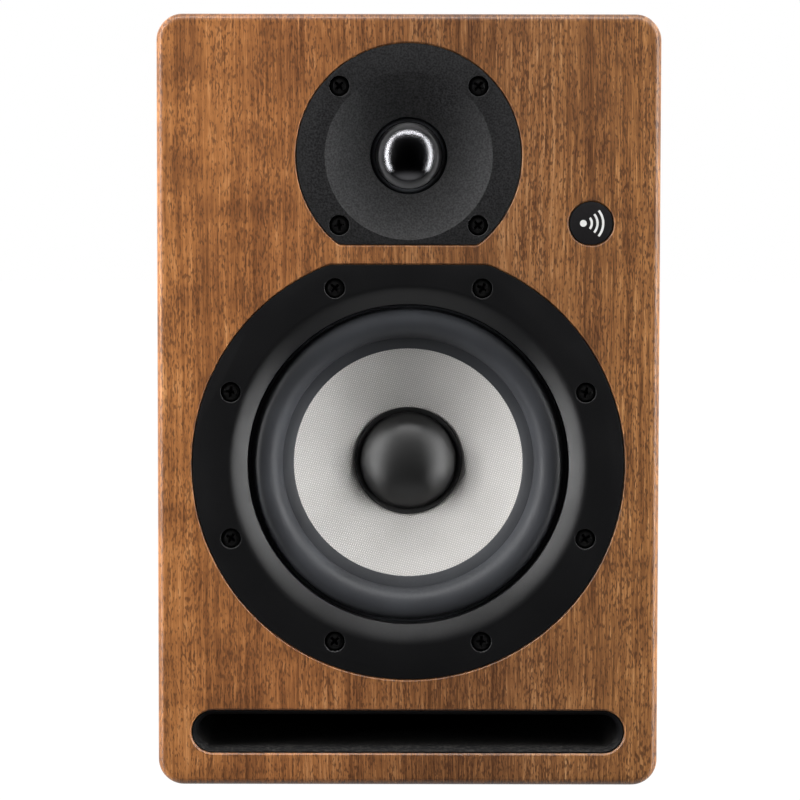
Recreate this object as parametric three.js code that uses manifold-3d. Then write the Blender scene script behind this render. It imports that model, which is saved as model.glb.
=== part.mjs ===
// A powered two-way bookshelf loudspeaker: a wrapped wooden cabinet with a slot port, a 5-inch woofer
// under a trim ring, a 25 mm dome tweeter in a shallow waveguide, and an amplifier on the rear panel.
// Millimetres, +Z up. The drivers face -Y. The origin is under the middle of the overall box.
// Depths (y) are measured back from the baffle's front face; the last lines centre the object on them.
import * as THREE from "three";
import { mergeVertices } from "three/addons/utils/BufferGeometryUtils.js";
import Module from "manifold-3d";

const wasm = await Module();
wasm.setup();

// ---------------------------------------------------------------- sizes

const fit = 0.3; // gap between pieces that touch
const bigRound = 36; // sides of a large turned piece
const midRound = 24;
const smallRound = 10;

const cabinet = { width: 185, height: 285, depth: 200, corner: 9.5, edge: 3 };
const baffleThickness = 18;
const wallThickness = 12;

const slot = { sideGap: 0.5, height: 15.5, wall: 2, length: 149.4, setBack: 0.6, flare: 1.1, flareDepth: 5 };

const screw = { headRadius: 3.4, headHeight: 2.1, shankRadius: 1.9, sunk: 0.5, boreRadius: 3.75 };

const woofer = {
  aboveSlot: 11.9, // from the port to the trim ring
  trimRadius: 79.5,
  trimThickness: 4,
  trimCut: 5.5, // how much is cut straight off the ring's top
  trimFillet: 7,
  rimWidth: 12.5, // the ring's flat part
  throatWidth: 7.5, // its rounded inner part
  throatDepth: 7,
  screwInset: 8.7,
  screws: 8,
  flangeInset: 2, // of the basket, under the ring
  flangeThickness: 2.2,
  gasketThickness: 0.9,
  rollGap: 1.7, // from the ring's throat to the surround's roll
  rollWidth: 11.2,
  rollHeight: 5.6,
  rubber: 0.7,
  coneDepth: 12, // from the cone's outer edge to its neck
  coneThickness: 0.8,
  capRadius: 18,
  capBorder: 3,
  capHeight: 8.7,
  coilRadius: 12.7,
  coilThickness: 0.4,
  coilLength: 20,
  coilGap: 0.45, // round the coil, on each side
  windingLength: 9.5,
  windingThickness: 0.6,
  topPlate: 5,
  magnetWidth: 22.5,
  magnetThickness: 15,
  backPlate: 5,
  ventRadius: 4,
};

const tweeter = {
  belowTop: 10.7, // from the cabinet's top to the faceplate
  plateRadius: 41.1,
  plateThickness: 4,
  plateCut: 8.6, // how much is cut straight off the plate's bottom
  plateFillet: 3,
  screwInset: 5.1,
  screws: 4,
  dishInset: 10.3,
  dishCurve: 61.6,
  bossInset: 13.1,
  bossDepth: 9.4,
  domeRadius: 12.2,
  domeHeight: 6.3,
  domeThickness: 0.5,
  domeSkirt: 0.3,
  rollWidth: 2.1, // from the dome to the faceplate's hole
  coilThickness: 0.7,
  coilLength: 4,
  coilGap: 0.4,
  topPlate: 3,
  magnetInset: 11.1,
  magnetThickness: 9,
  backPlate: 4,
  ventRadius: 3,
};

const badge = { radius: 7.9, thickness: 1.2, x: 67, fromTop: 76.4 };

// The amplifier hangs on one aluminium plate. Its x runs as seen from the front.
const plate = { width: 149, height: 220, thickness: 2.5, corner: 4, fromBottom: 148 };
const opening = { width: 126, height: 198 }; // in the rear panel, behind the plate
const heatSink = { width: 120, height: 60, base: 3, fins: 13, finThickness: 2, depth: 14, up: 68 };
const knobs = [
  { name: "volume_knob", radius: 9, length: 13.4, x: -36, up: 20 },
  { name: "treble_knob", radius: 6.5, length: 11.5, x: -36, up: -5 },
  { name: "bass_knob", radius: 6.5, length: 11.5, x: -36, up: -26 },
];
const shaft = { radius: 3, clearance: 0.4, length: 12.5 };
const knobLift = 0.8; // from the plate to a knob's skirt
const pot = { width: 17, height: 18, depth: 9 };
const combo = { width: 26, height: 31, flange: 2, body: 11.8, length: 26, x: 34, up: 14 };
const phono = { flange: 7, body: 5, barrel: 4.15, reach: 9.5, x: 34, up: -22 };
const inlet = { width: 48, height: 30, flange: 2.5, bodyWidth: 28, bodyHeight: 27, length: 22, x: 34, up: -73 };
const inletSocket = { width: 22.5, height: 15, depth: 16, down: 4.5 };
const fuseSlot = { width: 22, height: 6.5, depth: 20, up: 8.6, lip: 1.3 };
const rockerSwitch = { width: 15.2, height: 21.2, flange: 2, length: 15, x: -34, up: -73 };
const rocker = { width: 10.2, reach: 7.2, arc: 8, rise: 4.4, dip: 3, hub: 5, pivotDepth: 1.3, tilt: 8 };
const selector = { width: 20, height: 9, flange: 1.2, length: 11, x: -34, up: -48 };
const selectorSlider = { width: 5.5, height: 4.8, travel: 4, depth: 3.5 };
const board = { thickness: 1.6, behind: 22 }; // amplifier board, and its distance in front of the plate
const capacitor = { radius: 11, length: 25, apart: 26 };
const transformer = { radius: 30, bore: 11, height: 30 };
const chassis = { width: 84, thickness: 1.5, up: -96, reach: 82, lip: 6 };
const wadding = { thickness: 18, top: 16 };
const leadRadius = 1.6;

// ---------------------------------------------------------------- places worked out from the sizes

const insideWidth = cabinet.width - 2 * wallThickness;
const insideTop = cabinet.height - wallThickness;
const slotWidth = insideWidth - 2 * slot.sideGap;
const slotZ = wallThickness + fit + slot.height / 2;
const wooferZ = slotZ + slot.height / 2 + woofer.aboveSlot + woofer.trimRadius;
const tweeterZ = cabinet.height - tweeter.belowTop - tweeter.plateRadius;
const rearInside = cabinet.depth - wallThickness;
const plateInner = cabinet.depth + fit; // the amplifier plate's faces
const plateOuter = plateInner + plate.thickness;
const seat = plateOuter + fit; // what is fastened on the plate starts here
const heatSinkBack = seat + heatSink.depth;
const volumeBack = plateOuter + knobLift + knobs[0].length;
const overallDepth = Math.max(heatSinkBack, volumeBack);

// The woofer's radii, from the outside in.
const trimFlat = woofer.trimRadius - woofer.trimCut;
const wooferScrewCircle = woofer.trimRadius - woofer.screwInset;
const flangeRadius = woofer.trimRadius - woofer.flangeInset;
const mouthRadius = woofer.trimRadius - woofer.rimWidth;
const tubRadius = mouthRadius - 0.5; // the basket below its flange
const throatRadius = mouthRadius - woofer.throatWidth;
const rollOuter = throatRadius - woofer.rollGap;
const rollInner = rollOuter - woofer.rollWidth;
const coneRadius = rollInner - 0.4;
const capRim = woofer.capRadius + woofer.capBorder;
const formerOuter = woofer.coilRadius + woofer.coilThickness;
const windingOuter = formerOuter + woofer.windingThickness;
const neckRadius = formerOuter + 0.1;
const wooferPole = woofer.coilRadius - woofer.coilGap;
const wooferGapRadius = windingOuter + woofer.coilGap;
const magnetBore = wooferGapRadius + 5.9;
const magnetRadius = magnetBore + woofer.magnetWidth;
const platesRadius = magnetRadius - 4.5;

// The woofer's stack, front to back.
const flangeFront = woofer.trimThickness + fit;
const flangeBack = flangeFront + woofer.flangeThickness;
const gasketFront = flangeBack + fit;
const wooferLedge = gasketFront + woofer.gasketThickness + fit;
const trimLip = woofer.throatDepth + 1.3; // the ring's inner lip holds the surround down here
const surroundSeat = trimLip + fit;
const basketSeat = surroundSeat + woofer.rubber + fit;
const rollBottom = surroundSeat + 2.4; // the roll's inner foot lies deeper than its outer one
const coneFront = rollBottom + woofer.rubber + fit;
const coneSlope = woofer.coneDepth / (coneRadius - neckRadius);
const coneAt = (r) => coneFront + (coneRadius - r) * coneSlope;
const coilFront = coneAt(neckRadius) + woofer.coneThickness + fit;
const coilBack = coilFront + woofer.coilLength;
const spiderFront = coilFront + 3;
const spiderDrop = 3; // its outer rim lies deeper than its inner one
const spiderOuter = platesRadius - 2;
const topPlateFront = coilBack - woofer.windingLength / 2 - woofer.topPlate / 2;
const topPlateBack = topPlateFront + woofer.topPlate;
const magnetFront = topPlateBack + fit;
const magnetBack = magnetFront + woofer.magnetThickness;
const backPlateFront = magnetBack + fit;
const basketBack = topPlateFront - fit;

// The tweeter's radii and its stack.
const plateFlat = tweeter.plateRadius - tweeter.plateCut;
const tweeterScrewCircle = tweeter.plateRadius - tweeter.screwInset;
const dishRadius = tweeter.plateRadius - tweeter.dishInset;
const bossRadius = tweeter.plateRadius - tweeter.bossInset;
const tweeterMagnetRadius = tweeter.plateRadius - tweeter.magnetInset;
const skirtRadius = tweeter.domeRadius + tweeter.domeSkirt;
const dishHole = tweeter.domeRadius + tweeter.rollWidth;
const tweeterCoilRadius = tweeter.domeRadius + 0.2;
const tweeterCoilOuter = tweeterCoilRadius + tweeter.coilThickness;
const tweeterPole = tweeterCoilRadius - tweeter.coilGap;
const tweeterLedge = tweeter.plateThickness + fit;
const bowl = (r) => Math.sqrt(tweeter.dishCurve ** 2 - r ** 2);
const dishDepth = (r) => bowl(r) - bowl(dishRadius);
const domeBase = tweeter.bossDepth;
const tweeterPlateFront = tweeter.bossDepth + 1;
const tweeterMagnetFront = tweeterPlateFront + tweeter.topPlate + fit;
const tweeterYokeFront = tweeterMagnetFront + tweeter.magnetThickness + fit;

// ---------------------------------------------------------------- materials

const paint = (color, roughness, metalness = 0) => new THREE.MeshStandardMaterial({ color, roughness, metalness });
const walnut = paint(0x8f5e3b, 0.5);
const blackSatin = paint(0x1b1b1d, 0.5);
const blackMatte = paint(0x26262a, 0.7);
const rubber = paint(0x2b2d2f, 0.6);
const wovenCone = paint(0xc9c7c4, 0.6);
const domeMetal = paint(0x3c3e42, 0.25, 0.9);
const steel = paint(0x9a9c9e, 0.35, 0.9);
const ferrite = paint(0x2e2f31, 0.8);
const copper = paint(0xb06a3a, 0.35, 0.9);
const foam = paint(0x1c1c1c, 0.95);
const wool = paint(0xdad7cf, 0.95);
const circuit = paint(0x1f5a38, 0.5);
const amber = paint(0xb98a4a, 0.8);
const red = paint(0xa51d1d, 0.45);
const wire = paint(0x8c1f1f, 0.5);

// ---------------------------------------------------------------- outlines and solids

/** Points along an arc, both ends included. */
function arc(cx, cy, radius, from, to, steps) {
  return Array.from({ length: steps + 1 }, (_, i) => {
    const angle = from + ((to - from) * i) / steps;
    return new THREE.Vector2(cx + radius * Math.cos(angle), cy + radius * Math.sin(angle));
  });
}

function circle(cx, cy, radius, sides) {
  return arc(cx, cy, radius, 0, 2 * Math.PI, sides).slice(0, -1);
}

/** A rectangle with round corners, by its middle and size. */
function roundedRect(cx, cy, width, height, radius, steps = 4) {
  const x = width / 2 - radius;
  const y = height / 2 - radius;
  const quarter = Math.PI / 2;
  return [
    ...arc(cx + x, cy + y, radius, 0, quarter, steps),
    ...arc(cx - x, cy + y, radius, quarter, 2 * quarter, steps),
    ...arc(cx - x, cy - y, radius, 2 * quarter, 3 * quarter, steps),
    ...arc(cx + x, cy - y, radius, 3 * quarter, 4 * quarter, steps),
  ];
}

function rect(cx, cy, width, height) {
  const points = [[-1, -1], [1, -1], [1, 1], [-1, 1]];
  return points.map(([sx, sy]) => new THREE.Vector2(cx + (sx * width) / 2, cy + (sy * height) / 2));
}

/** A slot with half-round ends. */
function stadium(cx, cy, width, height, steps = 10) {
  const x = width / 2 - height / 2;
  const quarter = Math.PI / 2;
  return [
    ...arc(cx + x, cy, height / 2, -quarter, quarter, steps),
    ...arc(cx - x, cy, height / 2, quarter, 3 * quarter, steps),
  ];
}

/** A circle cut straight at `flat` above its middle (side 1) or below it (side -1), its corners rounded. */
function cutCircle(cx, cy, radius, flat, fillet, side, sides = bigRound) {
  const middle = Math.sqrt((radius - fillet) ** 2 - (flat - fillet) ** 2);
  const start = Math.atan2(flat - fillet, middle);
  const points = [
    ...arc(middle, flat - fillet, fillet, start, Math.PI / 2, 4),
    ...arc(-middle, flat - fillet, fillet, Math.PI / 2, Math.PI - start, 4),
    ...arc(0, 0, radius, Math.PI - start, 2 * Math.PI + start, sides).slice(1, -1),
  ];
  return points.map((p) => new THREE.Vector2(cx + p.x, cy + side * p.y));
}

/** An outline in X and Z, with holes, as a board from depth `front` to `back`. */
function boardOf(outline, front, back, holes = []) {
  const shape = new THREE.Shape(outline);
  shape.holes = holes.map((hole) => new THREE.Path(hole));
  return new THREE.ExtrudeGeometry(shape, { depth: back - front, bevelEnabled: false })
    .rotateX(Math.PI / 2)
    .translate(0, back, 0);
}

/** A profile of [radius, depth] pairs turned round the Y axis. It closes on itself or ends on the axis. */
function turned(profile, sides = bigRound) {
  const points = profile.map(([r, y]) => new THREE.Vector2(r, y));
  if (!THREE.ShapeUtils.isClockWise(points)) points.reverse();
  const onAxis = points[0].x === 0 && points[points.length - 1].x === 0;
  if (!onAxis) points.push(points[0].clone());
  return new THREE.LatheGeometry(points.reverse(), sides);
}

/** A flat ring. */
function ring(inner, outer, front, back, sides = bigRound) {
  return turned([[inner, front], [outer, front], [outer, back], [inner, back]], sides);
}

/** A round bar along Y at x, z. */
function bar(x, z, radius, front, back, sides = smallRound) {
  return turned([[0, front], [radius, front], [radius, back], [0, back]], sides).translate(x, 0, z);
}

function box(x0, x1, y0, y1, z0, z1) {
  return new THREE.BoxGeometry(x1 - x0, y1 - y0, z1 - z0).translate((x0 + x1) / 2, (y0 + y1) / 2, (z0 + z1) / 2);
}

function toSolid(geometry) {
  const bare = new THREE.BufferGeometry().setAttribute("position", geometry.getAttribute("position"));
  bare.setIndex(geometry.index);
  const merged = mergeVertices(bare, 1e-4);
  const index = merged.index.array;
  const faces = [];
  for (let i = 0; i < index.length; i += 3) {
    const [a, b, c] = index.subarray(i, i + 3);
    if (a !== b && b !== c && c !== a) faces.push(a, b, c);
  }
  const vertProperties = merged.getAttribute("position").array;
  return new wasm.Manifold(new wasm.Mesh({ numProp: 3, vertProperties, triVerts: new Uint32Array(faces) }));
}

function toGeometry(solid) {
  const mesh = solid.getMesh();
  return new THREE.BufferGeometry()
    .setAttribute("position", new THREE.BufferAttribute(mesh.vertProperties, 3))
    .setIndex(new THREE.BufferAttribute(mesh.triVerts, 1));
}

const fold = (method) => (first, ...rest) =>
  toGeometry(rest.reduce((made, other) => made[method](toSolid(other)), toSolid(first)));
const cut = fold("subtract");
const join = fold("add");
const common = fold("intersect");

function piece(parent, name, geometry, material) {
  const mesh = new THREE.Mesh(geometry, material);
  mesh.name = name;
  parent.add(mesh);
  return mesh;
}

/** The places of `count` screws on a circle, the first half a step round from the top. */
function screwPlaces(count, radius) {
  return Array.from({ length: count }, (_, i) => {
    const angle = Math.PI / 2 - ((i + 0.5) * 2 * Math.PI) / count;
    return [radius * Math.cos(angle), radius * Math.sin(angle)];
  });
}

const wooferScrews = screwPlaces(woofer.screws, wooferScrewCircle);
const tweeterScrews = screwPlaces(tweeter.screws, tweeterScrewCircle);
const screwTip = baffleThickness - 2;
const holeFor = (places, radius, front, back) => places.map(([x, z]) => bar(x, z, radius, front, back));
const shankHole = screw.shankRadius + fit;
const counterbore = screw.sunk + screw.headHeight + fit;

/** A pan-head wood screw with its head sunk below the face. */
function screwSolid() {
  const { headRadius, headHeight, shankRadius, sunk } = screw;
  return turned(
    [[0, sunk], [headRadius * 0.7, sunk], [headRadius, sunk + headHeight * 0.45], [headRadius, sunk + headHeight],
      [shankRadius, sunk + headHeight], [shankRadius, screwTip - 2], [0, screwTip]],
    smallRound,
  );
}

// ---------------------------------------------------------------- cabinet

function frontBaffle() {
  const { width, height, corner, edge } = cabinet;
  const slab = new THREE.ExtrudeGeometry(new THREE.Shape(roundedRect(0, height / 2, width, height, corner, 6)), {
    depth: baffleThickness,
    bevelThickness: edge,
    bevelSize: edge,
    bevelOffset: -edge,
    bevelSegments: 3,
  }).rotateX(Math.PI / 2).translate(0, baffleThickness + edge, 0);
  const behindLedge = baffleThickness + 1;
  const wooferRecess = cutCircle(0, wooferZ, woofer.trimRadius + fit, trimFlat + fit, woofer.trimFillet, 1);
  const plateRecess = cutCircle(0, tweeterZ, tweeter.plateRadius + fit, plateFlat + fit, tweeter.plateFillet, -1);
  return cut(
    common(slab, box(-width, width, 0, baffleThickness, -1, height + 1)),
    boardOf(wooferRecess, -1, wooferLedge),
    boardOf(circle(0, wooferZ, tubRadius + 2 * fit, bigRound), 0, behindLedge),
    boardOf(plateRecess, -1, tweeterLedge),
    boardOf(circle(0, tweeterZ, tweeterMagnetRadius + 1, midRound), 0, behindLedge),
    boardOf(stadium(0, slotZ, slotWidth + 2 * fit, slot.height + 2 * fit), -1, behindLedge),
    bar(badge.x, cabinet.height - badge.fromTop, badge.radius + fit, -1, badge.thickness + fit, midRound),
    ...holeFor(wooferScrews, shankHole, wooferLedge - 1, screwTip + fit).map((g) => g.translate(0, 0, wooferZ)),
    ...holeFor(tweeterScrews, shankHole, tweeterLedge - 1, screwTip + fit).map((g) => g.translate(0, 0, tweeterZ)),
  );
}

/** A side board with the cabinet's round corners on its outer edge; side is -1 on the left, 1 on the right. */
function sideBoard(side) {
  const { width, height, corner, depth } = cabinet;
  const outer = width / 2;
  const inner = outer - wallThickness;
  const quarter = Math.PI / 2;
  const outline = [
    new THREE.Vector2(inner, 0),
    ...arc(outer - corner, corner, corner, -quarter, 0, 6),
    ...arc(outer - corner, height - corner, corner, 0, quarter, 6),
    new THREE.Vector2(inner, height),
  ];
  return boardOf(outline.map((p) => new THREE.Vector2(side * p.x, p.y)), baffleThickness + fit, depth);
}

function levelBoard(bottom) {
  const half = insideWidth / 2 - fit;
  return box(-half, half, baffleThickness + fit, cabinet.depth, bottom, bottom + wallThickness);
}

function rearPanel() {
  const width = insideWidth - 2 * fit;
  const height = insideTop - wallThickness - 2 * fit;
  return boardOf(
    rect(0, cabinet.height / 2, width, height),
    rearInside,
    cabinet.depth,
    [rect(0, plate.fromBottom, opening.width, opening.height)],
  );
}

/** The slot port: a flat tube with half-round ends and a wider mouth. */
function portDuct() {
  const back = slot.setBack + slot.length;
  const innerWidth = slotWidth - 2 * slot.wall;
  const innerHeight = slot.height - 2 * slot.wall;
  const mouth = stadium(0, slotZ, innerWidth + 2 * slot.flare, innerHeight + 2 * slot.flare);
  return cut(
    boardOf(stadium(0, slotZ, slotWidth, slot.height), slot.setBack, back),
    boardOf(stadium(0, slotZ, innerWidth, innerHeight), 0, back + 1),
    boardOf(mouth, 0, slot.setBack + slot.flareDepth),
  );
}

function makeCabinet(speaker) {
  piece(speaker, "front_baffle", frontBaffle(), walnut);
  piece(speaker, "left_side_panel", sideBoard(-1), walnut);
  piece(speaker, "right_side_panel", sideBoard(1), walnut);
  piece(speaker, "top_panel", levelBoard(insideTop), walnut);
  piece(speaker, "bottom_panel", levelBoard(0), walnut);
  piece(speaker, "rear_panel", rearPanel(), walnut);
  piece(speaker, "port_duct", portDuct(), blackSatin);
  const badgeZ = cabinet.height - badge.fromTop;
  piece(speaker, "badge", bar(badge.x, badgeZ, badge.radius, 0, badge.thickness, midRound), blackMatte);

  const padInner = insideWidth / 2 - fit - wadding.thickness;
  const padOuter = insideWidth / 2 - fit;
  const padFront = magnetBack + 12;
  const padBack = rearInside - 6;
  const padBottom = slotZ + slot.height + 12;
  const padTop = insideTop - wadding.top - 6;
  piece(speaker, "damping_pad_left", box(-padOuter, -padInner, padFront, padBack, padBottom, padTop), wool);
  piece(speaker, "damping_pad_right", box(padInner, padOuter, padFront, padBack, padBottom, padTop), wool);
  const topReach = padInner - 4;
  const overBoard = [padFront - 25, padBack - 12];
  piece(
    speaker,
    "damping_pad_top",
    box(-topReach, topReach, ...overBoard, insideTop - fit - wadding.top, insideTop - fit),
    wool,
  );
}

// ---------------------------------------------------------------- woofer

/** The trim ring: flat outside, rounded into the throat, with a sunk seat for each screw. */
function trimRing() {
  const { throatDepth, trimThickness, trimRadius } = woofer;
  const steps = 4;
  const lip = Array.from({ length: steps + 1 }, (_, i) => {
    const angle = (Math.PI / 2) * (i / steps);
    const r = mouthRadius - (mouthRadius - throatRadius) * Math.sin(angle);
    return [r, throatDepth - throatDepth * Math.cos(angle)];
  });
  const lipOuter = tubRadius - 2 - fit;
  const body = turned([
    [trimRadius + 5, 0], ...lip, [throatRadius, trimLip], [lipOuter, trimLip],
    [lipOuter, trimThickness], [trimRadius + 5, trimThickness],
  ]);
  const outline = cutCircle(0, 0, trimRadius, trimFlat, woofer.trimFillet, 1);
  return cut(
    common(body, boardOf(outline, -1, trimLip + 1)),
    ...holeFor(wooferScrews, screw.boreRadius, -1, counterbore),
    ...holeFor(wooferScrews, shankHole, 0, trimThickness + 1),
  );
}

/** What is above the flange's straight top edge, to be cut away. */
function aboveFlat(front, back) {
  const reach = woofer.trimRadius;
  return box(-reach, reach, front - 1, back + 1, trimFlat - 0.5, reach + 10);
}

function gasket() {
  const back = gasketFront + woofer.gasketThickness;
  return cut(
    ring(tubRadius + 1, flangeRadius - 0.5, gasketFront, back),
    aboveFlat(gasketFront, back),
    ...holeFor(wooferScrews, shankHole, gasketFront - 1, back + 1),
  );
}

/** The basket: flange, a seat for the surround, six legs, a seat for the spider, and a back on the top plate. */
function basket() {
  const wall = 2;
  const seatInner = rollOuter + 0.2;
  const spiderSeat = spiderFront + spiderDrop + 1.2;
  const body = turned([
    [flangeRadius, flangeFront], [flangeRadius, flangeBack], [tubRadius, flangeBack], [tubRadius, basketSeat + 4],
    [platesRadius + 2, basketBack], [platesRadius - 16, basketBack], [platesRadius - 16, basketBack - wall],
    [spiderOuter - 3, basketBack - wall], [spiderOuter - 3, spiderSeat], [spiderOuter + 1, spiderSeat],
    [tubRadius - 4, basketSeat + wall + 1], [seatInner, basketSeat + wall], [seatInner, basketSeat],
    [tubRadius - wall, basketSeat], [tubRadius - wall, flangeFront],
  ]);
  const legs = 6;
  const windowWidth = 27;
  const windowOf = (i) =>
    box(spiderOuter + 5, tubRadius - 7, basketSeat + wall + 1.5, basketBack - 2, -windowWidth / 2, windowWidth / 2)
      .rotateY((i * 2 * Math.PI) / legs);
  return cut(
    body,
    aboveFlat(flangeFront, flangeBack),
    ...Array.from({ length: legs }, (_, i) => windowOf(i)),
    ...holeFor(wooferScrews, shankHole, flangeFront - 1, flangeBack + 1),
  );
}

/** The rubber surround: an outer flange under the trim ring, a half roll, and an inner flange on the cone. */
function surround() {
  const { rollHeight, rubber: thick } = woofer;
  const middle = (rollOuter + rollInner) / 2;
  const half = (rollOuter - rollInner) / 2;
  const steps = 6;
  const roll = (inset) =>
    Array.from({ length: steps + 1 }, (_, i) => {
      const across = -Math.cos((Math.PI * i) / steps); // -1 at the outer foot, 1 at the inner foot
      const foot = surroundSeat + ((rollBottom - surroundSeat) * (across + 1)) / 2;
      const rise = (rollHeight - inset) * Math.sin((Math.PI * i) / steps);
      return [middle - across * (half - inset), foot - rise + inset];
    });
  const flangeOuter = tubRadius - 2 - 2 * fit;
  const innerEdge = coneRadius - 3.7;
  const drop = (rollInner - innerEdge) * coneSlope;
  return turned([
    [flangeOuter, surroundSeat], ...roll(0), [innerEdge, rollBottom + drop],
    [innerEdge, rollBottom + drop + thick - fit], ...roll(thick - fit).reverse(), [flangeOuter, surroundSeat + thick - fit],
  ]);
}

function cone() {
  const { coneThickness } = woofer;
  return turned([
    [coneRadius, coneAt(coneRadius)], [neckRadius, coneAt(neckRadius)],
    [neckRadius, coneAt(neckRadius) + coneThickness], [coneRadius, coneAt(coneRadius) + coneThickness],
  ]);
}

/** A thin spherical cap: [radius, depth] pairs from the rim to the crown. */
function capCurve(rimRadius, height, rimDepth, steps) {
  const curve = (rimRadius ** 2 + height ** 2) / (2 * height);
  const widest = Math.asin(rimRadius / curve);
  return Array.from({ length: steps + 1 }, (_, i) => {
    const angle = widest * (1 - i / steps);
    return [curve * Math.sin(angle), rimDepth - height + curve * (1 - Math.cos(angle))];
  });
}

/** The dust cap: a dome on a sloping rim that is glued to the cone. */
function dustCap() {
  const thick = 0.6;
  const rim = coneAt(capRim) - fit - thick;
  const foot = coneAt(woofer.capRadius) - fit - thick;
  const outside = capCurve(woofer.capRadius, woofer.capHeight, foot, 5);
  const inside = capCurve(woofer.capRadius - thick, woofer.capHeight - thick, foot + thick, 5).reverse();
  return turned([[capRim, rim], ...outside, ...inside, [capRim, rim + thick]], midRound);
}

function voiceCoil() {
  const { coilRadius, windingLength } = woofer;
  const windingFront = coilBack - windingLength;
  return turned([
    [coilRadius, coilFront], [formerOuter, coilFront], [formerOuter, windingFront], [windingOuter, windingFront],
    [windingOuter, coilBack], [coilRadius, coilBack],
  ], midRound);
}

/** The corrugated cloth that centres the coil. */
function spider() {
  const inner = formerOuter + fit;
  const steps = 8;
  const waves = 2;
  const height = 1;
  const thick = 0.5;
  const line = Array.from({ length: steps + 1 }, (_, i) => {
    const along = i / steps;
    const wave = height * Math.sin(along * waves * 2 * Math.PI);
    return [inner + (spiderOuter - inner) * along, spiderFront + spiderDrop * along + wave];
  });
  return turned([...line, ...line.map(([r, y]) => [r, y + thick]).reverse()], midRound);
}

function yoke() {
  const { ventRadius, backPlate } = woofer;
  const back = backPlateFront + backPlate;
  return turned([
    [ventRadius, topPlateFront], [wooferPole, topPlateFront], [wooferPole, backPlateFront],
    [platesRadius, backPlateFront], [platesRadius, back], [ventRadius, back],
  ], midRound);
}

function makeWoofer(speaker) {
  const driver = new THREE.Group();
  driver.position.z = wooferZ;
  speaker.add(driver);
  piece(driver, "woofer_trim_ring", trimRing(), blackSatin);
  piece(driver, "woofer_gasket", gasket(), foam);
  piece(driver, "woofer_basket", basket(), blackMatte);
  piece(driver, "woofer_surround", surround(), rubber);
  piece(driver, "woofer_cone", cone(), wovenCone);
  piece(driver, "woofer_dust_cap", dustCap(), rubber);
  piece(driver, "woofer_voice_coil", voiceCoil(), copper);
  piece(driver, "woofer_spider", spider(), amber);
  const topPlate = ring(wooferGapRadius, platesRadius, topPlateFront, topPlateBack, midRound);
  piece(driver, "woofer_top_plate", topPlate, steel);
  piece(driver, "woofer_magnet", ring(magnetBore, magnetRadius, magnetFront, magnetBack, midRound), ferrite);
  piece(driver, "woofer_yoke", yoke(), steel);
  wooferScrews.forEach(([x, z], i) => {
    const one = piece(driver, `woofer_screw_${i + 1}`, screwSolid(), blackSatin);
    one.position.set(x, 0, z);
  });
}

// ---------------------------------------------------------------- tweeter

/** The faceplate: a flat rim, a shallow dish down to the dome, and a boss behind. */
function faceplate() {
  const { plateRadius, plateThickness, bossDepth } = tweeter;
  const steps = 4;
  const dish = Array.from({ length: steps + 1 }, (_, i) => {
    const r = dishRadius - ((dishRadius - dishHole) * i) / steps;
    return [r, dishDepth(r)];
  });
  const body = turned([
    [plateRadius + 5, 0], ...dish, [dishHole, bossDepth], [bossRadius, bossDepth],
    [bossRadius, plateThickness], [plateRadius + 5, plateThickness],
  ]);
  const outline = cutCircle(0, 0, plateRadius, plateFlat, tweeter.plateFillet, -1);
  return cut(
    common(body, boardOf(outline, -1, bossDepth + 1)),
    ...holeFor(tweeterScrews, screw.boreRadius, -1, counterbore),
    ...holeFor(tweeterScrews, shankHole, 0, plateThickness + 1),
  );
}

function dome() {
  const { domeRadius, domeHeight, domeThickness } = tweeter;
  const outside = capCurve(domeRadius, domeHeight, domeBase, 5);
  const inside = capCurve(domeRadius - domeThickness, domeHeight - domeThickness, domeBase, 5).reverse();
  return turned([[skirtRadius, domeBase], ...outside, ...inside,
    [domeRadius - domeThickness, domeBase + domeThickness], [skirtRadius, domeBase + domeThickness]], midRound);
}

/** The tweeter's thin roll, from its clamped flange to the dome's skirt. */
function tweeterSurround() {
  const inner = skirtRadius + fit;
  const foot = dishHole - 0.4;
  const outer = dishHole + 7.7;
  const thick = 0.3;
  const seatFront = tweeter.bossDepth + fit;
  const line = [[outer, seatFront], [foot, seatFront], [foot - 0.2, seatFront - 0.9],
    [inner + 0.3, seatFront - 1], [inner, seatFront - 0.5]];
  return turned([...line, ...line.map(([r, y]) => [r, y + thick]).reverse()], midRound);
}

function tweeterYoke() {
  const { ventRadius, backPlate } = tweeter;
  const back = tweeterYokeFront + backPlate;
  const outer = tweeterMagnetRadius - 2;
  return turned([
    [ventRadius, tweeterPlateFront], [tweeterPole, tweeterPlateFront], [tweeterPole, tweeterYokeFront],
    [outer, tweeterYokeFront], [outer, back], [ventRadius, back],
  ], midRound);
}

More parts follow.
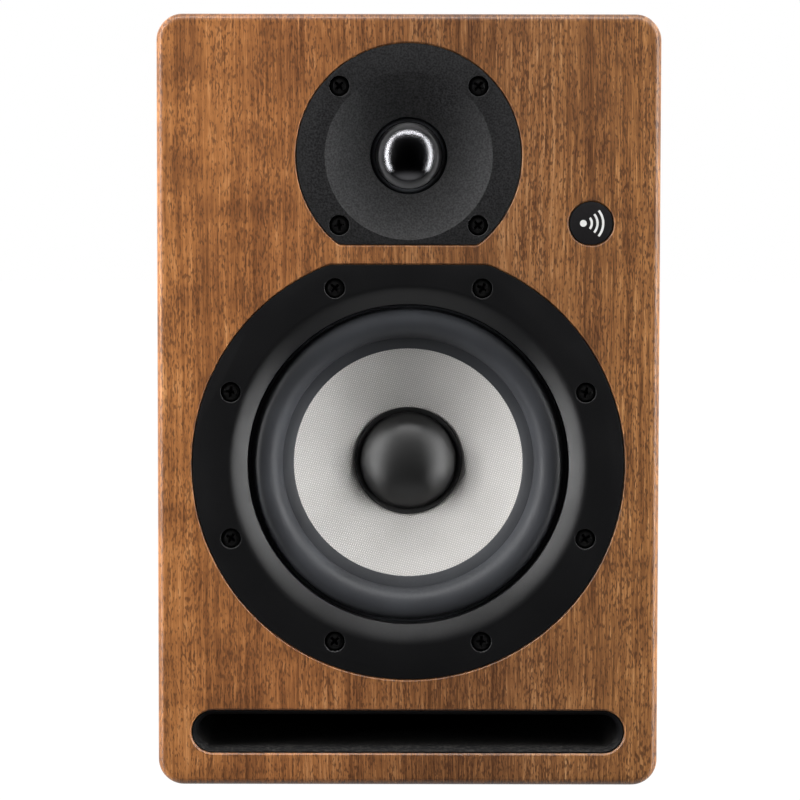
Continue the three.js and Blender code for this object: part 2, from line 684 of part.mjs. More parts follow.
function makeTweeter(speaker) {
  const driver = new THREE.Group();
  driver.position.z = tweeterZ;
  speaker.add(driver);
  const coilStart = domeBase + tweeter.domeThickness + fit;
  const coilEnd = coilStart + tweeter.coilLength;
  const gapRadius = tweeterCoilOuter + tweeter.coilGap;
  const plateBack = tweeterPlateFront + tweeter.topPlate;
  const magnetEnd = tweeterMagnetFront + tweeter.magnetThickness;
  const coil = ring(tweeterCoilRadius, tweeterCoilOuter, coilStart, coilEnd, midRound);
  const topPlate = ring(gapRadius, tweeterMagnetRadius, tweeterPlateFront, plateBack, midRound);
  const magnet = ring(gapRadius + 3.5, tweeterMagnetRadius, tweeterMagnetFront, magnetEnd, midRound);
  piece(driver, "tweeter_faceplate", faceplate(), blackMatte);
  piece(driver, "tweeter_surround", tweeterSurround(), rubber);
  piece(driver, "tweeter_dome", dome(), domeMetal);
  piece(driver, "tweeter_voice_coil", coil, copper);
  piece(driver, "tweeter_top_plate", topPlate, steel);
  piece(driver, "tweeter_magnet", magnet, ferrite);
  piece(driver, "tweeter_yoke", tweeterYoke(), steel);
  tweeterScrews.forEach(([x, z], i) => {
    const one = piece(driver, `tweeter_screw_${i + 1}`, screwSolid(), blackSatin);
    one.position.set(x, 0, z);
  });
}

// ---------------------------------------------------------------- amplifier

/** The plate, with an opening for each fitting that passes through it. Its middle is the group's middle. */
function amplifierPlate() {
  const { width, height, corner } = plate;
  return boardOf(roundedRect(0, 0, width, height, corner), plateInner, plateOuter, [
    ...knobs.map((k) => circle(k.x, k.up, shaft.radius + 2 * shaft.clearance, smallRound)),
    circle(combo.x, combo.up, combo.body + fit, midRound),
    circle(phono.x, phono.up, phono.body + 2 * fit, midRound),
    rect(inlet.x, inlet.up, inlet.bodyWidth + 2 * fit, inlet.bodyHeight + 2 * fit),
    rect(rockerSwitch.x, rockerSwitch.up, rockerSwitch.width - 2, rockerSwitch.height - 2),
    rect(selector.x, selector.up, selector.width - 1.4, selector.height - 0.4),
  ]);
}

function heatSinkSolid() {
  const { width, height, base, fins, finThickness, depth, up } = heatSink;
  const pitch = (width - finThickness) / (fins - 1);
  const z0 = up - height / 2;
  const z1 = up + height / 2;
  const finOf = (i) => {
    const x = -width / 2 + i * pitch;
    return box(x, x + finThickness, seat + base - 0.5, seat + depth, z0, z1);
  };
  return join(box(-width / 2, width / 2, seat, seat + base, z0, z1), ...Array.from({ length: fins }, (_, i) => finOf(i)));
}

/** A control knob with a flat skirt and its potentiometer's shaft. A notch in its crown is the pointer. */
function knobSolid({ radius, length }) {
  const front = plateOuter + knobLift;
  const back = front + length;
  const body = turned([
    [0, front - shaft.length], [shaft.radius, front - shaft.length], [shaft.radius, front], [radius, front],
    [radius, front + length * 0.25], [radius * 0.86, front + length * 0.3], [radius * 0.8, back - 1],
    [radius * 0.7, back], [0, back],
  ], midRound);
  return cut(body, box(-0.6, 0.6, back - 1.2, back + 1, radius * 0.25, radius));
}

/** One board behind the plate that carries the three potentiometers. */
function controlBoard() {
  const potBack = plateInner - 1;
  const potFront = potBack - pot.depth;
  const front = potFront - board.thickness;
  const xs = knobs[0].x;
  const top = knobs[0].up + pot.height / 2 + 4;
  const bottom = knobs[knobs.length - 1].up - pot.height / 2 - 4;
  const slab = box(xs - pot.width, xs + pot.width, front, potFront, bottom, top);
  const potOf = (k) => box(k.x - pot.width / 2, k.x + pot.width / 2, potFront - 0.5, potBack, k.up - pot.height / 2, k.up + pot.height / 2);
  const boreOf = (k) => bar(k.x, k.up, shaft.radius + shaft.clearance, plateOuter + knobLift - shaft.length - 0.5, potBack + 1);
  return cut(join(slab, ...knobs.map(potOf)), ...knobs.map(boreOf));
}

/** A combined microphone and jack socket: a ring channel round an insert with three pin holes and a jack hole. */
function comboJack() {
  const { width, height, flange, body, length } = combo;
  const face = seat + flange;
  const channel = ring(7.7, 9.7, face - 12, face + 1, midRound);
  const pins = [90, 210, 330].map((degrees) => {
    const angle = (degrees * Math.PI) / 180;
    return bar(5.4 * Math.cos(angle), 5.4 * Math.sin(angle), 1.2, face - 10, face + 1, 10);
  });
  return cut(
    join(boardOf(roundedRect(0, 0, width, height, 2), seat, face), bar(0, 0, body, face - length, seat + 0.5, midRound)),
    channel,
    bar(0, 0, 3.3, face - length + 2, face + 1, smallRound),
    ...pins,
  );
}

function phonoJack() {
  const { flange, body, barrel, reach } = phono;
  const back = seat + reach;
  return turned([
    [0, seat - 13], [body, seat - 13], [body, seat], [flange, seat], [flange, seat + 1.5], [barrel, seat + 1.5],
    [barrel, back], [1.7, back], [1.7, back - 8], [0, back - 8],
  ], 20);
}

/** The mains inlet: a flanged body with a socket and, above it, a slot for the fuse drawer. */
function mainsInlet() {
  const { width, height, flange, bodyWidth, bodyHeight, length } = inlet;
  const face = seat + flange;
  const { width: sw, height: sh, depth, down } = inletSocket;
  const socket = boardOf(roundedRect(0, -down, sw, sh, 2.5, 2), face - depth, face + 1);
  const slotBox = box(-fuseSlot.width / 2, fuseSlot.width / 2, face - fuseSlot.depth, face + 1,
    fuseSlot.up - fuseSlot.height / 2, fuseSlot.up + fuseSlot.height / 2);
  return cut(
    join(boardOf(roundedRect(0, 0, width, height, 3), seat, face), box(-bodyWidth / 2, bodyWidth / 2, face - length - 2, seat + 0.5, -bodyHeight / 2, bodyHeight / 2)),
    socket,
    slotBox,
  );
}

function fuseDrawer() {
  const face = seat + inlet.flange;
  const halfWidth = fuseSlot.width / 2 - fit;
  const halfHeight = fuseSlot.height / 2 - fit;
  const front = face - fuseSlot.depth + 1;
  return join(
    box(-halfWidth, halfWidth, front, face + fit + 0.5, -halfHeight, halfHeight),
    box(-halfWidth - 0.8, halfWidth + 0.8, face + fit, face + fit + fuseSlot.lip, -halfHeight - 0.8, halfHeight + 0.8),
  );
}

const rockerOpening = { width: rocker.width + 2 * fit, height: 2 * (rocker.arc + 0.6) };

/** The rocker switch's frame: a flange and a body with a well for the rocker. */
function switchFrame() {
  const { width, height, flange, length } = rockerSwitch;
  const face = seat + flange;
  return cut(
    join(boardOf(roundedRect(0, 0, width, height, 1.5), seat, face), box(-width / 2 + 1.3, width / 2 - 1.3, seat - length, seat + 0.5, -height / 2 + 1.3, height / 2 - 1.3)),
    box(-rockerOpening.width / 2, rockerOpening.width / 2, seat - length + 4, face + 1, -rockerOpening.height / 2, rockerOpening.height / 2),
  );
}

/** The rocker about its own pivot: a hub, two arms and a face that dips in the middle. Depth is its x here. */
function rockerSolid() {
  const { reach, arc: arm, rise, dip, hub, width } = rocker;
  const side = Math.sqrt(arm ** 2 - reach ** 2);
  const outline = [
    new THREE.Vector2(rise, -reach), new THREE.Vector2(dip, 0), new THREE.Vector2(rise, reach),
    new THREE.Vector2(side, reach), ...arc(0, 0, hub, Math.PI / 3, (5 * Math.PI) / 3, 8), new THREE.Vector2(side, -reach),
  ];
  return new THREE.ExtrudeGeometry(new THREE.Shape(outline), { depth: width, bevelEnabled: false })
    .translate(0, 0, -width / 2)
    .applyMatrix4(new THREE.Matrix4().makeBasis(new THREE.Vector3(0, 1, 0), new THREE.Vector3(0, 0, 1), new THREE.Vector3(1, 0, 0)));
}

function selectorHousing() {
  const { width, height, flange, length } = selector;
  const face = seat + flange;
  const { width: sw, height: sh, travel, depth } = selectorSlider;
  return cut(
    join(boardOf(roundedRect(0, 0, width, height, 1), seat, face), box(-width / 2 + 1, width / 2 - 1, seat - length, seat + 0.5, -height / 2 + 0.5, height / 2 - 0.5)),
    box(-(sw + travel) / 2 - fit, (sw + travel) / 2 + fit, face - depth, face + 1, -sh / 2 - fit, sh / 2 + fit),
  );
}

function selectorSliderSolid() {
  const face = seat + selector.flange;
  const { width, height, travel, depth } = selectorSlider;
  const start = -travel / 2;
  const body = box(start - width / 2, start + width / 2, face - depth + fit, face - 0.4, -height / 2, height / 2);
  return cut(body, box(start - 0.5, start + 0.5, face - 1.2, face + 1, -height, height));
}

/** The power amplifier board on four pillars, with its two reservoir capacitors. */
function amplifierBoard() {
  const { width, height, up } = heatSink;
  const back = plateInner - board.behind;
  const front = back - board.thickness;
  const halfWidth = width / 2 - 3;
  const halfHeight = height / 2 - 1;
  const pillars = [[-1, -1], [1, -1], [1, 1], [-1, 1]].map(([sx, sz]) =>
    bar(sx * (halfWidth - 5), up + sz * (halfHeight - 5), 3, back - 0.5, plateInner - fit, 10));
  const cans = [-1, 1].map((side) =>
    bar(side * capacitor.apart, up + 8, capacitor.radius, front - capacitor.length, front + 0.5, 20));
  const devices = [-1, 1].map((side) =>
    box(side * 30 - 9, side * 30 + 9, back - 0.5, plateInner - fit, up - 26, up - 10));
  return join(box(-halfWidth, halfWidth, front, back, up - halfHeight, up + halfHeight), ...pillars, ...cans, ...devices);
}

/** The steel tray that carries the transformer, with a lip against the plate. */
function chassisTray() {
  const { width, thickness, up, reach, lip } = chassis;
  return join(
    box(-width / 2, width / 2, plateInner - reach, plateInner - fit, up, up + thickness),
    box(-width / 2, width / 2, plateInner - fit - thickness, plateInner - fit, up, up + lip),
  );
}

function toroid() {
  const { radius, bore, height } = transformer;
  const corner = 5;
  const z0 = chassis.up + chassis.thickness + fit;
  const z1 = z0 + height;
  const centre = plateInner - chassis.reach + radius;
  return turned([
    [bore, z0], [radius - corner, z0], [radius, z0 + corner], [radius, z1 - corner], [radius - corner, z1], [bore, z1],
  ], midRound).rotateX(Math.PI / 2).scale(1, 1, 1).translate(0, centre, 0);
}

function makeAmplifier(speaker) {
  const amplifier = new THREE.Group();
  amplifier.position.z = plate.fromBottom;
  speaker.add(amplifier);
  const at = (fitting, mesh) => mesh.position.set(fitting.x, 0, fitting.up);
  piece(amplifier, "amp_plate", amplifierPlate(), blackSatin);
  piece(amplifier, "heat_sink", heatSinkSolid(), blackSatin);
  piece(amplifier, "amp_board", amplifierBoard(), circuit);
  piece(amplifier, "amp_chassis", chassisTray(), steel);
  piece(amplifier, "power_transformer", toroid(), amber);
  piece(amplifier, "control_board", controlBoard(), circuit);
  for (const knob of knobs) at(knob, piece(amplifier, knob.name, knobSolid(knob), blackMatte));
  at(combo, piece(amplifier, "combo_jack", comboJack(), blackSatin));
  at(phono, piece(amplifier, "phono_jack", phonoJack(), steel));
  at(inlet, piece(amplifier, "mains_inlet", mainsInlet(), blackSatin));
  const drawer = piece(amplifier, "fuse_drawer", fuseDrawer(), blackSatin);
  drawer.position.set(inlet.x, 0, inlet.up + fuseSlot.up);
  at(rockerSwitch, piece(amplifier, "power_switch_frame", switchFrame(), blackSatin));
  const lever = piece(amplifier, "power_rocker", rockerSolid(), blackMatte);
  lever.position.set(rockerSwitch.x, seat - rocker.pivotDepth, rockerSwitch.up);
  lever.rotation.x = (rocker.tilt * Math.PI) / 180;
  at(selector, piece(amplifier, "voltage_selector", selectorHousing(), blackSatin));
  at(selector, piece(amplifier, "voltage_slider", selectorSliderSolid(), red));
}

// ---------------------------------------------------------------- leads

/** A twin lead along hand-chosen points. */
function lead(points) {
  const path = new THREE.CatmullRomCurve3(points.map(([x, y, z]) => new THREE.Vector3(x, y, z)));
  const section = new THREE.Shape(circle(0, 0, leadRadius, 6));
  return new THREE.ExtrudeGeometry(section, { steps: 20, extrudePath: path, bevelEnabled: false });
}

/** Both leads run from the amplifier board to the back of their driver. */
function makeLeads(speaker) {
  const from = plateInner - board.behind - board.thickness - fit;
  const boardLow = plate.fromBottom + heatSink.up - heatSink.height / 2;
  const wooferLead = lead([
    [40, from, boardLow + 6], [40, from - 26, boardLow + 2], [46, from - 66, wooferZ + 52],
    [52, basketBack + 33, wooferZ + 40], [52, basketBack + 7, wooferZ + 31], [46.5, basketBack - 9.8, wooferZ + 26.8],
  ]);
  const yokeBack = tweeterYokeFront + tweeter.backPlate;
  const tweeterLead = lead([
    [10, from, boardLow + 16], [10, from - 36, boardLow + 18], [4, yokeBack + 63, tweeterZ - 19],
    [6, yokeBack + 23, tweeterZ - 7], [18, yokeBack + 9, tweeterZ - 1], [20, yokeBack + 0.7, tweeterZ],
  ]);
  piece(speaker, "woofer_lead", wooferLead, wire);
  piece(speaker, "tweeter_lead", tweeterLead, wire);
}

// ---------------------------------------------------------------- the loudspeaker

const speaker = new THREE.Group();
speaker.name = "bookshelf_speaker";
makeCabinet(speaker);
makeWoofer(speaker);
makeTweeter(speaker);
makeAmplifier(speaker);
makeLeads(speaker);
speaker.position.y = -overallDepth / 2;

export default speaker;
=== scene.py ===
"""A powered two-way bookshelf loudspeaker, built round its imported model.

Each sub-assembly is a class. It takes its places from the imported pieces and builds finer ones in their
stead. Lengths are in metres, +Z is up, and the drivers face -Y.
"""

import logging
import math
import random
from dataclasses import dataclass
from enum import Enum
from functools import cache
from typing import Callable, Iterable, Sequence

import bmesh
import bpy
from mathutils import Matrix, Vector


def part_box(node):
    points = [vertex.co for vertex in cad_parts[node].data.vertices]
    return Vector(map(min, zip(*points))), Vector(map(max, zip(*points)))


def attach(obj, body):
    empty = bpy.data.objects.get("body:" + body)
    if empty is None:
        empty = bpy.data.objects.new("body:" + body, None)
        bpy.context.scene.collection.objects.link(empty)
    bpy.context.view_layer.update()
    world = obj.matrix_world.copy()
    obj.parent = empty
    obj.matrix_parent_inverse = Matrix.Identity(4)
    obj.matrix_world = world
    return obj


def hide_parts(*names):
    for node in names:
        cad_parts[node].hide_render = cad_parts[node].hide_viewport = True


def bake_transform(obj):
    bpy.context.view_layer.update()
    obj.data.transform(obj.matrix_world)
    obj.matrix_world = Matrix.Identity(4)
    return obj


LOG = logging.getLogger("speaker")
MM = 0.001
CABINET = "cabinet"
Point = tuple[float, float]
Outline = list[Point]
Colour = tuple[float, float, float, float]
Chart = tuple[int, int, int]
Mesh = bmesh.types.BMesh
Edge = bmesh.types.BMEdge
Material = bpy.types.Material
Node = bpy.types.Node
Socket = bpy.types.NodeSocket
Group = bpy.types.ShaderNodeTree

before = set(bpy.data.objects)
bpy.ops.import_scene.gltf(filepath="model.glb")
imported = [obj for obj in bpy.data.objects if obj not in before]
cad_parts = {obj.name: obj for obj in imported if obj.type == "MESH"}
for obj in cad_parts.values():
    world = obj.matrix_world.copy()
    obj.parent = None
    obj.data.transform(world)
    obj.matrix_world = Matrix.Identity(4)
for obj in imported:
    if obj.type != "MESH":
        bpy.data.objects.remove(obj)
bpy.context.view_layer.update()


# ---- outlines, in the X and Z of the baffle


def arc(centre: Point, radius: float, start: float, end: float, steps: int) -> Outline:
    """Points along an arc.

    Args:
        centre: The arc's middle.
        radius: Its radius.
        start: The first point's angle, in radians.
        end: The last point's angle.
        steps: The number of chords.

    Returns:
        The points, both ends among them.
    """
    turns = [start + (end - start) * i / steps for i in range(steps + 1)]
    return [(centre[0] + radius * math.cos(a), centre[1] + radius * math.sin(a)) for a in turns]


def circle(centre: Point, radius: float, sides: int = 96) -> Outline:
    """A whole circle of points.

    Args:
        centre: The circle's middle.
        radius: Its radius.
        sides: The number of points.

    Returns:
        The points.
    """
    return arc(centre, radius, 0.0, math.tau, sides)[:-1]


def rounded_rectangle(centre: Point, width: float, height: float, radius: float, steps: int = 8) -> Outline:
    """A rectangle with round corners.

    Args:
        centre: Its middle.
        width: Its size along X.
        height: Its size along Z.
        radius: The radius of its corners.
        steps: The chords in each corner.

    Returns:
        The points, counter-clockwise.
    """
    x, z = width / 2 - radius, height / 2 - radius
    quarter = math.pi / 2
    points: Outline = []
    for turn, (sx, sz) in enumerate([(1, 1), (-1, 1), (-1, -1), (1, -1)]):
        corner = (centre[0] + sx * x, centre[1] + sz * z)
        points += arc(corner, radius, turn * quarter, (turn + 1) * quarter, steps)
    return points


def stadium(centre: Point, width: float, height: float, steps: int = 24) -> Outline:
    """A slot with half-round ends.

    Args:
        centre: Its middle.
        width: Its length, ends included.
        height: Its height.
        steps: The chords in each end.

    Returns:
        The points, counter-clockwise.
    """
    reach = (width - height) / 2
    quarter = math.pi / 2
    right = arc((centre[0] + reach, centre[1]), height / 2, -quarter, quarter, steps)
    left = arc((centre[0] - reach, centre[1]), height / 2, quarter, 3 * quarter, steps)
    return right + left


def flatted_circle(
    centre: Point, radius: float, flat: float, fillet: float, side: int, grow: float = 0.0
) -> Outline:
    """A circle cut straight above or below its middle, with rounded corners at the cut.

    Args:
        centre: The circle's middle.
        radius: Its radius.
        flat: The distance from the middle to the straight edge.
        fillet: The radius of the two corners.
        side: 1 where the straight edge is above the middle, -1 where it is below.
        grow: How far the whole outline is moved outwards.

    Returns:
        The points.
    """
    reach = math.sqrt((radius - fillet) ** 2 - (flat - fillet) ** 2)
    start = math.atan2(flat - fillet, reach)
    points = arc((reach, flat - fillet), fillet + grow, start, math.pi / 2, 8)
    points += arc((-reach, flat - fillet), fillet + grow, math.pi / 2, math.pi - start, 8)
    points += arc((0.0, 0.0), radius + grow, math.pi - start, math.tau + start, 150)[1:-1]
    return [(centre[0] + x, centre[1] + side * z) for x, z in points]


def ring_of(centre: Point, radius: float, count: int, first: float) -> list[Point]:
    """Places spread evenly round a circle, clockwise.

    Args:
        centre: The circle's middle.
        radius: Its radius.
        count: How many places there are.
        first: The first one's angle, in radians.

    Returns:
        The places.
    """
    turns = [first - i * math.tau / count for i in range(count)]
    return [(centre[0] + radius * math.cos(a), centre[1] + radius * math.sin(a)) for a in turns]


def stepped(face: float, *steps: Point) -> list[Point]:
    """A profile given in millimetres, with its depths counted from a face.

    Args:
        face: The face's depth, in metres.
        steps: Pairs of radius and depth, in millimetres.

    Returns:
        The profile, in metres.
    """
    return [(r * MM, face + y * MM) for r, y in steps]


def crown_of(radius: float, height: float, foot: float, steps: int) -> list[Point]:
    """A shallow dome's profile, from its rim to its top.

    Args:
        radius: The dome's radius at its rim.
        height: How far its top stands before the rim.
        foot: The depth of the rim.
        steps: The number of chords.

    Returns:
        Pairs of radius and depth.
    """
    curve = (radius ** 2 + height ** 2) / (2 * height)
    widest = math.asin(radius / curve)
    turns = [widest * (1 - i / steps) for i in range(steps + 1)]
    return [(curve * math.sin(a), foot - height + curve * (1 - math.cos(a))) for a in turns]


# ---- meshes


def turned(profile: Sequence[Point], steps: int = 128, centre: Point = (0.0, 0.0)) -> Mesh:
    """Spins a closed profile round an axis that runs along Y.

    Args:
        profile: Pairs of radius and depth. It closes on itself, or starts and ends on the axis.
        steps: The number of sides.
        centre: The axis's X and Z.

    Returns:
        The solid.
    """
    made = bmesh.new()
    points = [made.verts.new((r, y, 0.0)) for r, y in profile]
    pairs = list(zip(points, points[1:]))
    if profile[0][0] > 1e-9 or profile[-1][0] > 1e-9:
        pairs.append((points[-1], points[0]))
    edges = [made.edges.new(pair) for pair in pairs]
    bmesh.ops.spin(
        made, geom=points + edges, cent=(0, 0, 0), axis=(0, 1, 0), dvec=(0, 0, 0),
        angle=math.tau, steps=steps, use_merge=True, use_duplicate=False,
    )
    bmesh.ops.remove_doubles(made, verts=made.verts[:], dist=1e-7)
    bmesh.ops.recalc_face_normals(made, faces=made.faces[:])
    bmesh.ops.translate(made, verts=made.verts[:], vec=(centre[0], 0.0, centre[1]))
    return made


def lofted(sections: Sequence[tuple[Outline, float]]) -> Mesh:
    """Joins outlines that have as many points each into one closed solid.

    Args:
        sections: Each outline with its depth, front to back.

    Returns:
        The solid, closed by a flat face at both ends.
    """
    made = bmesh.new()
    loops = []
    for outline, depth in sections:
        points = [made.verts.new((x, depth, z)) for x, z in outline]
        loops.append([made.edges.new((a, b)) for a, b in zip(points, points[1:] + points[:1])])
    for first, second in zip(loops, loops[1:]):
        bmesh.ops.bridge_loops(made, edges=first + second)
    for loop in (loops[0], loops[-1]):
        bmesh.ops.contextual_create(made, geom=loop)
    bmesh.ops.recalc_face_normals(made, faces=made.faces[:])
    return made


def prism(outline: Outline, front: float, back: float) -> Mesh:
    """A straight board of one outline.

    Args:
        outline: Its shape.
        front: The depth of its front face.
        back: The depth of its back face.

    Returns:
        The solid.
    """
    return lofted([(outline, front), (outline, back)])


def block(low: Sequence[float], high: Sequence[float]) -> Mesh:
    """A box between two corners.

    Args:
        low: Its lowest corner.
        high: Its highest corner.

    Returns:
        The solid.
    """
    made = bmesh.new()
    size = [b - a for a, b in zip(low, high)]
    middle = [(a + b) / 2 for a, b in zip(low, high)]
    bmesh.ops.create_cube(made, size=1.0, matrix=Matrix.Translation(middle) @ Matrix.Diagonal((*size, 1.0)))
    return made


def soften(made: Mesh, chosen: Callable[[Edge], bool], radius: float, segments: int) -> None:
    """Rounds the edges that a test picks.

    Args:
        made: The mesh.
        chosen: The test.
        radius: The size of the rounding.
        segments: The number of its strips.
    """
    edges = [edge for edge in made.edges if chosen(edge)]
    bmesh.ops.bevel(
        made, geom=edges, offset=radius, segments=segments, profile=0.5, affect="EDGES", material=-1,
        clamp_overlap=True,
    )


def soften_sharp(made: Mesh, radius: float, segments: int = 2, degrees: float = 50.0) -> None:
    """Rounds every edge that turns by more than an angle.

    Args:
        made: The mesh.
        radius: The size of the rounding.
        segments: The number of its strips.
        degrees: The angle.
    """
    limit = math.radians(degrees)
    soften(made, lambda edge: edge.calc_face_angle(0.0) > limit, radius, segments)


def at_depth(depth: float) -> Callable[[Edge], bool]:
    """A test for edges that lie at one depth, round a face's border.

    Args:
        depth: The depth.

    Returns:
        The test.
    """
    def chosen(edge: Edge) -> bool:
        """Whether an edge lies at the depth and turns."""
        return all(abs(v.co.y - depth) < 1e-6 for v in edge.verts) and edge.calc_face_angle(0.0) > 0.6

    return chosen


def join(parts: Iterable[Mesh]) -> Mesh:
    """Puts several meshes in one, as they are.

    Args:
        parts: The meshes. They are used up.

    Returns:
        The mesh that holds them all.
    """
    made = bmesh.new()
    for part in parts:
        carrier = bpy.data.meshes.new("carrier")
        part.to_mesh(carrier)
        part.free()
        made.from_mesh(carrier)
        bpy.data.meshes.remove(carrier)
    return made


class Cut(Enum):
    """What a boolean does."""

    REMOVE = "DIFFERENCE"
    ADD = "UNION"
    KEEP = "INTERSECT"


def carve(body: Mesh, tools: Iterable[Mesh], cut: Cut = Cut.REMOVE) -> Mesh:
    """Cuts a solid with others, or adds them to it.

    Args:
        body: The solid. It is used up.
        tools: The other solids. They are used up.
        cut: What is done with them.

    Returns:
        The result.
    """
    def carrier(name: str, mesh: Mesh) -> bpy.types.Object:
        """A short-lived object for a mesh."""
        data = bpy.data.meshes.new(name)
        mesh.to_mesh(data)
        mesh.free()
        held = bpy.data.objects.new(name, data)
        bpy.context.scene.collection.objects.link(held)
        return held

    work = carrier("work", body)
    held = [carrier("tool", tool) for tool in tools]
    for tool in held:
        step = work.modifiers.new("cut", "BOOLEAN")
        step.object = tool
        step.operation = cut.value
        step.solver = "EXACT"
    settled = work.evaluated_get(bpy.context.evaluated_depsgraph_get())
    result = bmesh.new()
    result.from_mesh(settled.to_mesh())
    settled.to_mesh_clear()
    for thing in [work, *held]:
        data = thing.data
        bpy.data.objects.remove(thing)
        bpy.data.meshes.remove(data)
    bmesh.ops.remove_doubles(result, verts=result.verts[:], dist=2e-7)
    bmesh.ops.dissolve_degenerate(result, dist=1e-7, edges=result.edges[:])
    return result


def shift(made: Mesh, x: float = 0.0, y: float = 0.0, z: float = 0.0) -> Mesh:
    """Moves a whole mesh and gives it back.

    Args:
        made: The mesh.
        x: How far along X.
        y: How far along Y.
        z: How far along Z.

    Returns:
        The same mesh.
    """
    bmesh.ops.translate(made, verts=made.verts[:], vec=(x, y, z))
    return made


def turn(made: Mesh, angle: float, axis: str = "Y", about: Sequence[float] = (0, 0, 0)) -> Mesh:
    """Turns a whole mesh and gives it back.

    Args:
        made: The mesh.
        angle: The angle in radians.
        axis: X, Y or Z.
        about: A point on the axis.

    Returns:
        The same mesh.
    """
    bmesh.ops.rotate(made, verts=made.verts[:], cent=about, matrix=Matrix.Rotation(angle, 3, axis))
    return made


def relax(made: Mesh) -> None:
    """Smooths a whole mesh by one step."""
    along = {"use_axis_x": True, "use_axis_y": True, "use_axis_z": True}
    bmesh.ops.smooth_vert(made, verts=made.verts[:], factor=0.5, **along)


def piece(
    name: str,
    made: Mesh,
    finish: Material,
    body: str = CABINET,
    stands_for: Sequence[str] = (),
    crease: float = 32.0,
) -> bpy.types.Object:
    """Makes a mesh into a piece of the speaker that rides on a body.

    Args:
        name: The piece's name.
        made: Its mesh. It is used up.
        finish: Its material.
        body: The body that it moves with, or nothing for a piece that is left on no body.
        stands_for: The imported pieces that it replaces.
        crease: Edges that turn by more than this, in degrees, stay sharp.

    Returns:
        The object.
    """
    limit = math.radians(crease)
    for face in made.faces:
        face.smooth = True
    for edge in made.edges:
        edge.smooth = edge.calc_face_angle(0.0) < limit
    mesh = bpy.data.meshes.new(name)
    made.to_mesh(mesh)
    made.free()
    thing = bpy.data.objects.new(name, mesh)
    bpy.context.scene.collection.objects.link(thing)
    mesh.materials.append(finish)
    if body:
        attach(thing, body)
    if stands_for:
        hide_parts(*stands_for)
    LOG.info("%s: %d faces on %s", name, len(mesh.polygons), body or "two bodies")
    return thing


def dress(node: str, finish: Material) -> None:
    """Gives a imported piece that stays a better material.

    Args:
        node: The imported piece.
        finish: The material.
    """
    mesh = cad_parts[node].data
    mesh.materials.clear()
    mesh.materials.append(finish)
    LOG.info("%s keeps its shape", node)


# ---- finishes


def paint(red: int, green: int, blue: int) -> Colour:
    """A colour as the shader takes it.

    Args:
        red: 0 to 255, as a paint chart gives it.
        green: The same.
        blue: The same.

    Returns:
        The linear colour, opaque.
    """
    def linear(level: float) -> float:
        """One channel, from the chart's curve to linear."""
        share = level / 255.0
        return share / 12.92 if share <= 0.04045 else ((share + 0.055) / 1.055) ** 2.4

    return (linear(red), linear(green), linear(blue), 1.0)


